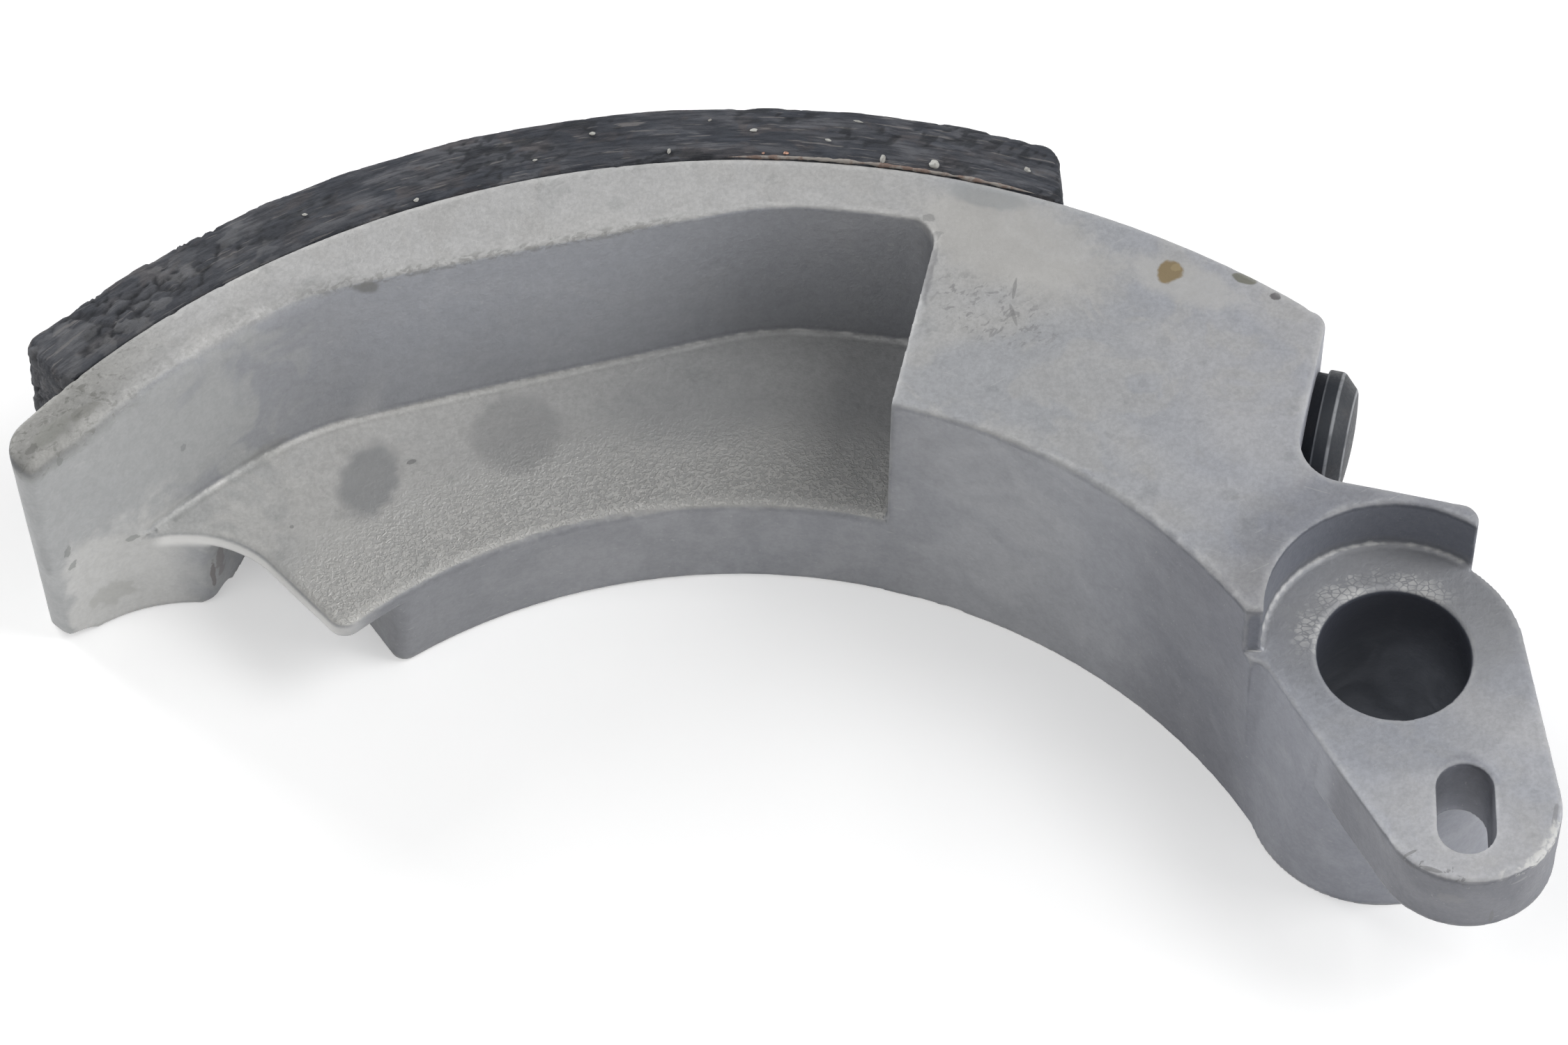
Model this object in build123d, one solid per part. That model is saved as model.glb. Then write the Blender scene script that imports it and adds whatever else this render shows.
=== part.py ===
# Clutch shoe of a centrifugal drum clutch, lying on its side face, in millimetres.
# The pivot bore's axis is the Z axis, the shoe rests on Z = 0 and the toe points towards -X.
from build123d import *
import math
import os

# Whole shoe
shoe_height = 21.4
rim_outer_radius = 61.65
pivot_inset = 13.2
pivot_bearing = 31.8

# Curved rim that carries the lining, seen from the drum's axis
rim_toe_wall = 3.65
rim_middle_wall = 5.75
rim_heel_wall = 4.0
toe_bearing = 144.1
toe_end_draft = 5.0
toe_nose_radius = 2.8
toe_inner_step = 0.25
toe_hollow_depth = 0.9
toe_hollow_bearing = 137.9

# Pocket above the web, open towards the drum's axis and at the toe
pocket_toe_draft = 1.45
pocket_middle_draft = 1.1
pocket_heel_draft = 0.5
pocket_toe_bend = 121.5
pocket_middle_bearing = 107.0
pocket_heel_bend = 89.8
pocket_end_bearing = 78.4
pocket_corner_radius = 1.9
pocket_bend_radius = 18.0
pocket_floor_radius = 0.55

# Web between the rim and the concave side, with its free edge near the toe
web_top = 8.35
web_thickness = 1.7
web_end_bearing = 131.0
web_root_depth = 3.4
web_root_bearing = 134.0
web_bend_depth = 5.7
web_bend_bearing = 132.2
web_start_depth = 8.4
web_start_bearing = 131.3
web_tip_radius = 1.3
web_edge_radius = 0.7

# Concave side that clears the clutch's hub
hub_offset_x = -0.43
hub_offset_y = 4.0
hub_depth = 23.22

# Open space under the web, between the toe block and the lower body
window_body_bearing = 124.7
window_toe_bearing = 132.05
window_toe_depth = 4.0
window_toe_slant = 67.0
window_outer_wall = 5.0
window_body_radius = 1.0
window_toe_radius = 0.6
window_lower_edge = 0.5

# Pivot boss with its recess and the spring finger
pivot_bore_radius = 5.0
boss_radius = 8.53
recess_clearance = 0.2
recess_floor = 16.87
recess_floor_radius = 0.5
finger_thickness = 5.5
finger_length = 12.08
finger_tip_radius = 5.95
finger_flank_bearing = 209.7
flank_inset = 0.75
flank_reach = 4.2
flank_run_out = 1.5

# Spring slot in the finger
slot_width = 3.7
slot_above_tip = 3.0
slot_below_tip = 3.8
slot_left_of_tip = 0.2

# Step behind the pivot, with the lip round the recess
step_bearing = -12.0
step_behind_recess = 0.06
lip_wall = 0.79
lip_end = 3.7
lip_end_radius = 1.2
notch_radius = 3.2
step_corner_radius = 1.3

# Friction lining bonded to the rim
lining_thickness = 4.55
lining_toe_bearing = 137.3
lining_heel_bearing = 71.1
lining_heel_bevel = 2.0
lining_toe_corner = 1.2
lining_heel_corner = 1.6
lining_edge_chamfer = 0.3

# Rubber rest buffer in the step face
buffer_head_radius = 4.35
buffer_band = 1.05
buffer_bevel = 1.05
buffer_crown = 0.25
buffer_neck_inset = 0.3
buffer_gap = 0.7
buffer_stem_radius = 1.9
buffer_stem_length = 5.0
buffer_hole_clearance = 0.05
buffer_above_notch = 7.7
buffer_below_top = 6.0

# How far the cutting shapes reach past the casting
cut_reach = 4.0

# Small rounding of the cast edges
cast_edge = 0.35
finger_edge = 0.2
bore_chamfer = 0.25

recess_radius = boss_radius + recess_clearance
step_offset = recess_radius + step_behind_recess
lip_offset = recess_radius + lip_wall
flank_offset = boss_radius - flank_inset
pivot_radius = rim_outer_radius - pivot_inset
hub_radius = rim_outer_radius - hub_depth
drum_axis = Vector(
    -pivot_radius * math.cos(math.radians(pivot_bearing)),
    -pivot_radius * math.sin(math.radians(pivot_bearing)),
)
hub_axis = drum_axis + Vector(hub_offset_x, hub_offset_y)
pocket_toe_radius = rim_outer_radius - rim_toe_wall
pocket_middle_radius = rim_outer_radius - rim_middle_wall
pocket_heel_radius = rim_outer_radius - rim_heel_wall
lining_radius = rim_outer_radius + lining_thickness


def heading(bearing):
    """Unit vector in the plane, at a bearing in degrees from +X."""
    return Vector(math.cos(math.radians(bearing)), math.sin(math.radians(bearing)))


def flanked(across, along):
    """Point measured square to the finger's flank and along it, from the pivot's axis."""
    return heading(finger_flank_bearing) * across + heading(finger_flank_bearing + 90) * along


finger_tip = flanked(flank_offset - finger_tip_radius, finger_length)


def polar(radius, bearing):
    """Point at a radius and bearing from the drum's axis."""
    return drum_axis + heading(bearing) * radius


def plan_radius(point):
    """Distance of a point from the drum's axis."""
    return math.hypot(point.X - drum_axis.X, point.Y - drum_axis.Y)


def stepped(across, along):
    """Point measured square to the step face and along it, from the pivot's axis."""
    return heading(step_bearing) * across + heading(step_bearing + 90) * along


def circle_crossing(centre, radius, start, direction):
    """Furthest point where a line meets a circle."""
    offset = start - centre
    along = offset.dot(direction)
    reach = math.sqrt(along**2 - offset.dot(offset) + radius**2)
    return start + direction * (reach - along)


def rim_arc(radius, start_bearing, end_bearing):
    """Arc about the drum's axis."""
    middle = (start_bearing + end_bearing) / 2
    return ThreePointArc(polar(radius, start_bearing), polar(radius, middle), polar(radius, end_bearing))


def nearest(shapes, point):
    """The shape whose centre lies nearest to a point."""
    return min(shapes, key=lambda shape: (shape.center() - point).length)


def rounded(sketch, corners):
    """The sketch with each named corner rounded to its own radius."""
    for point, radius in corners:
        sketch = fillet(nearest(sketch.vertices(), point), radius)
    return sketch


def hub_arc(start, end):
    """Arc about the hub's axis, from one point to another on the concave side."""
    middle = (start + end) * 0.5 - hub_axis
    return ThreePointArc(start, hub_axis + middle.normalized() * hub_radius, end)


def hub_point(bearing):
    """Point of the concave side at a bearing from the drum's axis."""
    return circle_crossing(hub_axis, hub_radius, drum_axis, heading(bearing))


def upright(face, start, height):
    """Prism that stands on a plan, from a height above the resting face."""
    return Pos(0, 0, start) * extrude(face, height, dir=(0, 0, 1))


def body_outline():
    """Plan of the casting without its boss and finger."""
    toe_outer = polar(rim_outer_radius, toe_bearing)
    toe_inner = polar(pocket_toe_radius + toe_inner_step, toe_bearing)
    toe_hollow = polar(pocket_toe_radius - toe_hollow_depth, toe_hollow_bearing)
    web_root = polar(pocket_toe_radius - web_root_depth, web_root_bearing)
    web_bend = polar(pocket_toe_radius - web_bend_depth, web_bend_bearing)
    web_start = polar(pocket_toe_radius - web_start_depth, web_start_bearing)
    web_tip = hub_point(web_end_bearing)
    along_step = heading(step_bearing + 90)
    step_top = circle_crossing(drum_axis, rim_outer_radius, stepped(-step_offset, 0), along_step)
    notch = stepped(-step_offset, lip_offset)
    lip_corner = stepped(lip_end, lip_offset)
    boss_side = heading(finger_flank_bearing) * boss_radius
    hub_end = hub_axis + (boss_side - hub_axis).normalized() * hub_radius
    top = step_top - drum_axis
    step_top_bearing = math.degrees(math.atan2(top.Y, top.X))
    outline = [
        rim_arc(rim_outer_radius, toe_bearing, step_top_bearing),
        Line(step_top, notch),
        Line(notch, lip_corner),
        Line(lip_corner, stepped(lip_end, 0)),
        Line(stepped(lip_end, 0), Vector(0, 0)),
        Line(Vector(0, 0), hub_end),
        hub_arc(hub_end, web_tip),
        Line(web_tip, web_start),
        ThreePointArc(web_start, web_bend, web_root),
        ThreePointArc(web_root, toe_hollow, toe_inner),
        Line(toe_inner, toe_outer),
    ]
    corners = [
        (step_top, step_corner_radius),
        (notch, notch_radius),
        (lip_corner, lip_end_radius),
        (web_tip, web_tip_radius),
    ]
    return rounded(make_face(outline), corners)


def pocket_outline(shift):
    """Plan of the pocket at a share of its depth, 0 at the floor and 1 at the top face."""
    toe_radius = pocket_toe_radius - pocket_toe_draft * (1 - shift)
    middle_radius = pocket_middle_radius - pocket_middle_draft * (1 - shift)
    heel_radius = pocket_heel_radius - pocket_heel_draft * (1 - shift)
    beyond_toe = toe_bearing + math.degrees(2 * cut_reach / rim_outer_radius)
    inner_radius = hub_radius - cut_reach
    face = make_face(
        [
            rim_arc(toe_radius, beyond_toe, pocket_toe_bend),
            ThreePointArc(
                polar(toe_radius, pocket_toe_bend),
                polar(middle_radius, pocket_middle_bearing),
                polar(heel_radius, pocket_heel_bend),
            ),
            rim_arc(heel_radius, pocket_heel_bend, pocket_end_bearing),
            Line(polar(heel_radius, pocket_end_bearing), polar(inner_radius, pocket_end_bearing)),
            Line(polar(inner_radius, pocket_end_bearing), polar(inner_radius, beyond_toe)),
            Line(polar(inner_radius, beyond_toe), polar(toe_radius, beyond_toe)),
        ]
    )
    corners = [
        (polar(heel_radius, pocket_end_bearing), pocket_corner_radius),
        (polar(heel_radius, pocket_heel_bend), pocket_bend_radius),
        (polar(toe_radius, pocket_toe_bend), pocket_bend_radius),
    ]
    return rounded(face, corners)


def pocket():
    """Space above the web, wider at the top face than at its floor."""
    floor = Pos(0, 0, web_top) * pocket_outline(0)
    top = Pos(0, 0, shoe_height) * pocket_outline(1)
    space = loft([floor, top], ruled=True)
    inside = pocket_middle_radius - cut_reach
    rim_side = [e for e in level_edges(space, web_top) if plan_radius(e.center()) > inside]
    return fillet(rim_side, pocket_floor_radius)


def window():
    """Space under the web, open at the concave side and at the resting face."""
    outer_radius = rim_outer_radius - window_outer_wall
    inner_radius = hub_radius - cut_reach
    toe_corner = polar(pocket_toe_radius - window_toe_depth, window_toe_bearing)
    toe_foot = toe_corner - heading(window_toe_slant) * 3 * cut_reach
    toe_top = circle_crossing(drum_axis, outer_radius, toe_corner, heading(window_toe_slant))
    top = toe_top - drum_axis
    toe_top_bearing = math.degrees(math.atan2(top.Y, top.X))
    outer_corner = polar(outer_radius, window_body_bearing)
    face = make_face(
        [
            rim_arc(outer_radius, toe_top_bearing, window_body_bearing),
            Line(outer_corner, polar(inner_radius, window_body_bearing)),
            Line(polar(inner_radius, window_body_bearing), toe_foot),
            Line(toe_foot, toe_top),
        ]
    )
    return upright(face, 0, web_top)


def upper_body():
    """Rim and arm at full height, with nothing left inside the pocket's plan."""
    below = upright(pocket_outline(0), 0, web_top)
    return blank() - pocket() - below


def lower_body():
    """Solid under the web, from toe block to boss, with the window cut out."""
    body = upright(body_outline(), 0, web_top - web_edge_radius) - window()
    up = Vector(0, 0, web_top / 2)
    body_corner = nearest(upright_edges(body), hub_point(window_body_bearing) + up)
    body = fillet(body_corner, window_body_radius)
    toe_point = polar(pocket_toe_radius - window_toe_depth, window_toe_bearing)
    toe_corner = nearest(upright_edges(body), toe_point + up)
    body = fillet(toe_corner, window_toe_radius)
    lower_edge = nearest(level_edges(body, 0), polar(hub_radius + window_outer_wall, window_body_bearing))
    return fillet(lower_edge, window_lower_edge)


def web_plate():
    """The web with its free edge fully rounded."""
    plate = upright(body_outline(), web_top - web_thickness, web_thickness)
    plate = fillet(level_edges(plate, web_top), web_edge_radius)
    return fillet(level_edges(plate, web_top - web_thickness), web_edge_radius)


def finger_outline():
    """Plan of the finger: two circles joined by their tangents."""
    flank = heading(finger_flank_bearing)
    reach = finger_tip.length
    spread = math.degrees(math.asin((boss_radius - finger_tip_radius) / reach))
    axis_bearing = math.degrees(math.atan2(finger_tip.Y, finger_tip.X))
    right = heading(axis_bearing + 90 - spread)
    bridge = make_face(
        Polyline(
            right * boss_radius,
            finger_tip + right * finger_tip_radius,
            finger_tip,
            finger_tip + flank * finger_tip_radius,
            flank * flank_offset,
            close=True,
        )
    )
    return Circle(boss_radius) + Pos(finger_tip) * Circle(finger_tip_radius) + bridge


def flank_cutter():
    """Block that trims boss and finger to one flank, which leans out towards the resting face."""
    lean = math.degrees(math.atan2(flank_inset, recess_floor))
    width = 2 * boss_radius
    length = flank_reach + finger_tip.length + 2 * finger_tip_radius
    block = Pos(width / 2, length / 2 - flank_reach, 0) * Box(width, length, 4 * shoe_height)
    arm_edge = nearest(block.edges(), Vector(0, -flank_reach, 0))
    block = fillet(arm_edge, flank_run_out)
    return Rot(0, 0, finger_flank_bearing) * Pos(boss_radius, 0, 0) * Rot(0, -lean, 0) * block


def toe_cutter():
    """Block beyond the toe's end face, which leans in towards the resting face."""
    size = 4 * rim_toe_wall
    tangent = heading(toe_bearing + 90)
    corner = polar(rim_outer_radius, toe_bearing)
    block = Pos(size / 2, 0, 0) * Box(size, 4 * size, 4 * shoe_height)
    place = Plane(origin=corner + Vector(0, 0, shoe_height), x_dir=tangent, z_dir=(0, 0, 1))
    return place * Rot(0, toe_end_draft, 0) * block


def slot():
    """Obround slot through the finger."""
    length = slot_above_tip + slot_below_tip
    middle = finger_tip + Vector(-slot_left_of_tip, (slot_above_tip - slot_below_tip) / 2)
    profile = Pos(middle) * Rot(0, 0, 90) * SlotOverall(length, slot_width)
    return upright(profile, recess_floor - finger_thickness, finger_thickness)


def buffer_place():
    """Frame on the step face at the buffer's axis, with Z pointing out of the face."""
    point = stepped(-step_offset, lip_offset + buffer_above_notch)
    centre = point + Vector(0, 0, shoe_height - buffer_below_top)
    return Plane(origin=centre, x_dir=(0, 0, 1), z_dir=heading(step_bearing))


def level_edges(solid, height):
    """The edges of a solid that lie level at a height."""
    flat = [e for e in solid.edges() if e.bounding_box().size.Z < 0.01]
    return [e for e in flat if abs(e.center().Z - height) < 0.01]


def upright_edges(solid):
    """The straight upright edges of a solid."""
    return [e for e in solid.edges() if abs(e.bounding_box().size.Z - e.length) < 0.001]


def blank():
    """The casting's full-height body with its leaning toe end, rounded nose and rounded edges."""
    body = upright(body_outline(), 0, shoe_height) - toe_cutter()
    middle = shoe_height / 2
    back = heading(toe_bearing + 90) * -(middle * math.tan(math.radians(toe_end_draft)))
    outer = polar(rim_outer_radius, toe_bearing) + back + Vector(0, 0, middle)
    body = fillet(nearest(body.edges(), outer), toe_nose_radius)
    body = fillet(level_edges(body, shoe_height), cast_edge)
    return fillet(level_edges(body, 0), cast_edge)


def pivot_recess():
    """Space over the finger plate: a round recess, open on the finger's side."""
    recess = upright(Circle(recess_radius), recess_floor, shoe_height)
    recess = fillet(level_edges(recess, recess_floor), recess_floor_radius)
    side = 2 * recess_radius
    open_side = Pos(-side / 2, -side / 2, recess_floor + shoe_height / 2) * Box(side, side, shoe_height)
    return recess, open_side


def make_casting():
    """The one-piece casting."""
    boss = upright(Circle(boss_radius), 0, recess_floor)
    finger = upright(finger_outline(), recess_floor - finger_thickness, finger_thickness)
    finger = fillet(level_edges(finger, recess_floor - finger_thickness), cast_edge) - slot()
    finger = fillet(level_edges(finger, recess_floor), finger_edge)
    recess, open_side = pivot_recess()
    bore = upright(Circle(pivot_bore_radius), 0, shoe_height)
    hole_radius = buffer_stem_radius + buffer_hole_clearance
    stem_hole = buffer_place() * upright(Circle(hole_radius), -buffer_stem_length, buffer_stem_length)
    lower = (lower_body() + web_plate()) & blank()
    casting = upper_body() + lower + boss
    casting = casting - recess - open_side + finger - flank_cutter()
    casting = casting - bore - slot() - stem_hole
    bore_mouth = nearest(level_edges(casting, recess_floor), Vector(0, 0, recess_floor))
    return chamfer(bore_mouth, bore_chamfer)


def make_lining():
    """Moulded friction lining, bonded to the rim's outer face."""
    bevel = math.degrees(lining_heel_bevel / lining_radius)
    outer_heel = lining_heel_bearing + bevel
    face = make_face(
        [
            rim_arc(rim_outer_radius, lining_toe_bearing, lining_heel_bearing),
            Line(polar(rim_outer_radius, lining_heel_bearing), polar(lining_radius, outer_heel)),
            rim_arc(lining_radius, outer_heel, lining_toe_bearing),
            Line(polar(lining_radius, lining_toe_bearing), polar(rim_outer_radius, lining_toe_bearing)),
        ]
    )
    corners = [
        (polar(lining_radius, lining_toe_bearing), lining_toe_corner),
        (polar(lining_radius, outer_heel), lining_heel_corner),
    ]
    lining = upright(rounded(face, corners), 0, shoe_height)
    ends = level_edges(lining, shoe_height) + level_edges(lining, 0)
    outer_edges = [e for e in ends if plan_radius(e.center()) > lining_radius - lining_thickness / 2]
    return chamfer(outer_edges, lining_edge_chamfer)


def make_buffer():
    """Rubber button: a stem in the casting, a shallow neck and a bevelled head with a crowned face."""
    neck_radius = buffer_head_radius - buffer_neck_inset
    face_radius = buffer_head_radius - buffer_bevel
    band_end = buffer_gap + buffer_band
    head_front = band_end + buffer_bevel
    crown_radius = (face_radius**2 + buffer_crown**2) / (2 * buffer_crown)
    crown_turn = math.asin(face_radius / crown_radius) / 2
    crown_drop = crown_radius * (1 - math.cos(crown_turn))
    crown_middle = (crown_radius * math.sin(crown_turn), head_front + buffer_crown - crown_drop)
    sides = Polyline(
        (0, head_front + buffer_crown),
        (0, -buffer_stem_length),
        (buffer_stem_radius, -buffer_stem_length),
        (buffer_stem_radius, 0),
        (neck_radius, 0),
        (neck_radius, buffer_gap),
        (buffer_head_radius, buffer_gap),
        (buffer_head_radius, band_end),
        (face_radius, head_front),
    )
    crown = ThreePointArc((face_radius, head_front), crown_middle, (0, head_front + buffer_crown))
    turned = revolve(Plane.XZ * make_face([sides, crown]), Axis.Z)
    return buffer_place() * turned


os.makedirs("parts", exist_ok=True)
export_step(make_casting(), "parts/shoe_casting.step")
export_step(make_lining(), "parts/friction_lining.step")
export_step(make_buffer(), "parts/rest_buffer.step")
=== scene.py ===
# %% [markdown]
# # A clutch shoe, dressed for its picture
# A clutch shoe is a small curved arm of die-cast aluminium. It swings on a pin, and the dark friction
# lining bonded to its back then grips the inside of a drum. This lesson starts from the finished solids of
# the shoe, which already have the right size and place, and gives each one the surface that the real piece
# has: cast skin with stains and worn edges, flaky friction material, and rubber with moulding lines.

# %% Load the shoe
import math
from types import SimpleNamespace

import bmesh
import bpy
import numpy as np
from mathutils import Matrix, Vector, noise


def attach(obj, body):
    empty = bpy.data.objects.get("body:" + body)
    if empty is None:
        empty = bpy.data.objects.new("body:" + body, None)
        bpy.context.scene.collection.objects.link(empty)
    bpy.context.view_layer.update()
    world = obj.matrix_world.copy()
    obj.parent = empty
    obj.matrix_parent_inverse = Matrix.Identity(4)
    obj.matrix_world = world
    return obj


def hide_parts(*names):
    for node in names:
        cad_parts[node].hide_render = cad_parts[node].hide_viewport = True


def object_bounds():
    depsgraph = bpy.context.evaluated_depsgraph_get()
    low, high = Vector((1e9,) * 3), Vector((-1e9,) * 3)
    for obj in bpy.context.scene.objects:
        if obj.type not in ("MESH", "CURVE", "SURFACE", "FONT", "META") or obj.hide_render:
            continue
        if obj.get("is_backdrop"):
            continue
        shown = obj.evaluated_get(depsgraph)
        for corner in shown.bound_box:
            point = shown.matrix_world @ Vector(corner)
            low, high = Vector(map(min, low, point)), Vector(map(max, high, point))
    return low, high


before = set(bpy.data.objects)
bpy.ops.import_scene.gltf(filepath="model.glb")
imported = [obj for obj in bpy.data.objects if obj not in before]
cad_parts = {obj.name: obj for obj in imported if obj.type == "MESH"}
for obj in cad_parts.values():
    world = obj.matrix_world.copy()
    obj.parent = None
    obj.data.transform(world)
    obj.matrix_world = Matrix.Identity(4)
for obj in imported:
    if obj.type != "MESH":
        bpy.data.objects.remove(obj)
cad_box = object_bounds()
MM = 0.001
print("nodes:", sorted(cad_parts))
print("box in mm:", [round(v / MM, 2) for corner in cad_box for v in corner])

# %% [markdown]
# ## Where things are
# The pivot bore's axis is the Z axis, and the shoe lies on the plane Z = 0. Most of its curves are drawn
# about the drum's axis, so a place on the rim is easiest to give as a radius and a bearing. The sizes below
# repeat the ones that the solids were made with.

# %% Sizes in millimetres
HEIGHT = 21.4
DRUM_X = -41.18
DRUM_Y = -25.53
HUB_X = -41.61
HUB_Y = -21.53
HUB_RADIUS = 38.43
RIM_RADIUS = 61.65
LINING_RADIUS = 66.2
WEB_TOP = 8.35
FINGER_TOP = 16.87
POCKET_TOE_RADIUS = 58.0


def around_drum(radius, bearing, height):
    """Place in millimetres at a radius and bearing in degrees from the drum's axis."""
    turn = math.radians(bearing)
    return Vector((DRUM_X + radius * math.cos(turn), DRUM_Y + radius * math.sin(turn), height))


# %% [markdown]
# ## Starting a dressed piece from a solid
# A solid arrives as loose triangles with knife-sharp edges wherever two faces meet. A real casting has
# none: every edge is a little soft, and no face is quite flat. One way would be to bevel each edge by hand,
# but on a shape with a hundred faces that is slow and leaves poor corners. Remeshing a copy into small even
# squares and relaxing them softens all edges at once, and gives enough points for dents and pits made of
# real geometry. The remesh has two kinds that matter here: "sharp" keeps crisp edges, which suits die-cast
# metal, and "voxel" rounds everything, which suits the crumbly lining.


# %% A remeshed copy
def fine_copy(node, name, square, sharp):
    """A copy of a node as one skin of even squares, each about that many millimetres wide."""
    shape = bmesh.new()
    shape.from_mesh(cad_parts[node].data)
    bmesh.ops.remove_doubles(shape, verts=shape.verts, dist=0.0005 * MM)
    mesh = bpy.data.meshes.new(name)
    shape.to_mesh(mesh)
    shape.free()
    mesh.materials.clear()
    piece = bpy.data.objects.new(name, mesh)
    bpy.context.scene.collection.objects.link(piece)
    remesh = piece.modifiers.new("Even squares", "REMESH")
    if sharp:
        remesh.mode = "SHARP"
        remesh.octree_depth = 9
        remesh.scale = max(piece.dimensions) / (square * MM * 2**remesh.octree_depth)
    else:
        remesh.mode = "VOXEL"
        remesh.voxel_size = square * MM
    evaluated = piece.evaluated_get(bpy.context.evaluated_depsgraph_get())
    finished = bpy.data.meshes.new_from_object(evaluated)
    piece.modifiers.clear()
    piece.data = finished
    finished.name = name
    print(name, "faces:", len(finished.polygons))
    return piece


def points_of(piece):
    """The piece's points in millimetres, one row each."""
    flat = np.empty(len(piece.data.vertices) * 3)
    piece.data.vertices.foreach_get("co", flat)
    return flat.reshape(-1, 3) / MM


def normals_of(piece):
    """The outward direction at each of the piece's points."""
    flat = np.empty(len(piece.data.vertices) * 3)
    piece.data.vertex_normals.foreach_get("vector", flat)
    return flat.reshape(-1, 3)


def move_points(piece, points):
    """Puts the piece's points at new places, given in millimetres."""
    piece.data.vertices.foreach_set("co", (points * MM).ravel())
    piece.data.update()


def relaxed(piece, points, passes, strength=0.5):
    """The points after drifting towards their neighbours' middle, by one strength or one per point."""
    pairs = np.empty(len(piece.data.edges) * 2, np.int64)
    piece.data.edges.foreach_get("vertices", pairs)
    first, second = pairs.reshape(-1, 2).T
    many = len(points)
    count = np.bincount(pairs, minlength=many)[:, None]
    strength = np.broadcast_to(strength, many)[:, None]
    for _ in range(passes):
        sums = []
        for column in points.T:
            there = np.bincount(first, column[second], many)
            sums.append(there + np.bincount(second, column[first], many))
        points = points + strength * (np.column_stack(sums) / count - points)
    return points


def waves(points, size, seed, stretch=(1, 1, 1)):
    """Smooth noise between about -1 and 1 at each point; size is the width of its lumps in millimetres."""
    scaled = points / (np.array(stretch) * size) + seed
    return np.array([noise.noise(Vector(place)) for place in scaled])


def smoothstep(values, low, high):
    """0 below low, 1 above high, and a soft ramp between."""
    share = np.clip((values - low) / (high - low), 0, 1)
    return share * share * (3 - 2 * share)


def keep_attribute(piece, name, values):
    """Stores one number per point, for the piece's material to read."""
    layer = piece.data.attributes.new(name, "FLOAT", "POINT")
    layer.data.foreach_set("value", values.astype(np.float32))


def finish_piece(piece, slot, *nodes):
    """Smooth shading, and the piece rides on the shoe in place of its solids."""
    piece.data.shade_smooth()
    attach(piece, "root")
    if nodes:
        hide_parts(*nodes)


# %% [markdown]
# ## Building materials
# A material is a small network of nodes. A picture could be wrapped round each piece instead, but a network
# works from the piece's own coordinates, so it has no seams and can be read from start to end. Every
# network here uses the same few steps: noise of a given size, a ramp that turns it into patches, and a mix
# of two colours. The helpers below add one such step each.


# %% Node helpers
def new_material(name):
    """A material's node tree, its Principled shader, and the place on the piece in metres."""
    material = bpy.data.materials.new(name)
    material.use_nodes = True
    tree = material.node_tree
    tree.nodes.clear()
    output = tree.nodes.new("ShaderNodeOutputMaterial")
    shader = tree.nodes.new("ShaderNodeBsdfPrincipled")
    tree.links.new(shader.outputs["BSDF"], output.inputs["Surface"])
    return material, tree, shader, tree.nodes.new("ShaderNodeTexCoord").outputs["Object"]


def plug(tree, value, socket):
    """Links another node's output to a socket, or sets the socket to a number or colour."""
    if isinstance(value, bpy.types.NodeSocket):
        tree.links.new(value, socket)
    elif isinstance(value, tuple):
        socket.default_value = (*value, 1)
    else:
        socket.default_value = value


def counted_from(tree, place, centre=(0, 0, 0), turn=0.0, size=(1, 1, 1)):
    """The place counted from a centre, along directions turned about Z, in steps of size millimetres."""
    node = tree.nodes.new("ShaderNodeMapping")
    node.vector_type = "TEXTURE"
    node.inputs["Location"].default_value = Vector(centre) * MM
    node.inputs["Rotation"].default_value = (0, 0, math.radians(turn))
    node.inputs["Scale"].default_value = Vector(size) * MM
    plug(tree, place, node.inputs["Vector"])
    return node.outputs["Vector"]


def distance_from(tree, place, centre=(0, 0, 0), turn=0.0, size=(1, 1, 1)):
    """How far the place is from a centre, where 1 is the given size in each direction."""
    node = tree.nodes.new("ShaderNodeVectorMath")
    node.operation = "LENGTH"
    plug(tree, counted_from(tree, place, centre, turn, size), node.inputs[0])
    return node.outputs["Value"]


def cloud(
    tree, place, size, detail=4, roughness=0.5, twist=0.0, stretch=(1, 1, 1), turn=0.0, start=(0, 0, 0)
):
    """Noise from 0 to 1 with lumps about size millimetres wide, stretched along the turned directions."""
    node = tree.nodes.new("ShaderNodeTexNoise")
    node.inputs["Scale"].default_value = 1.0
    node.inputs["Detail"].default_value = detail
    node.inputs["Roughness"].default_value = roughness
    node.inputs["Distortion"].default_value = twist
    steps = [size * share for share in stretch]
    plug(tree, counted_from(tree, place, start, turn, steps), node.inputs["Vector"])
    return node.outputs["Fac"]


def ramp(tree, value, low, high, bottom=0.0, top=1.0):
    """Bottom where the value is low, top where it is high, and a soft step between."""
    node = tree.nodes.new("ShaderNodeMapRange")
    node.interpolation_type = "SMOOTHSTEP"
    plug(tree, value, node.inputs["Value"])
    node.inputs["From Min"].default_value = min(low, high)
    node.inputs["From Max"].default_value = max(low, high)
    node.inputs["To Min"].default_value = bottom if low < high else top
    node.inputs["To Max"].default_value = top if low < high else bottom
    return node.outputs["Result"]


def worked_out(tree, operation, first, second):
    """One sum, such as ADD or MULTIPLY, on two values."""
    node = tree.nodes.new("ShaderNodeMath")
    node.operation = operation
    plug(tree, first, node.inputs[0])
    plug(tree, second, node.inputs[1])
    return node.outputs["Value"]


def product(tree, *values):
    """All the values multiplied together."""
    result = values[0]
    for value in values[1:]:
        result = worked_out(tree, "MULTIPLY", result, value)
    return result


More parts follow.
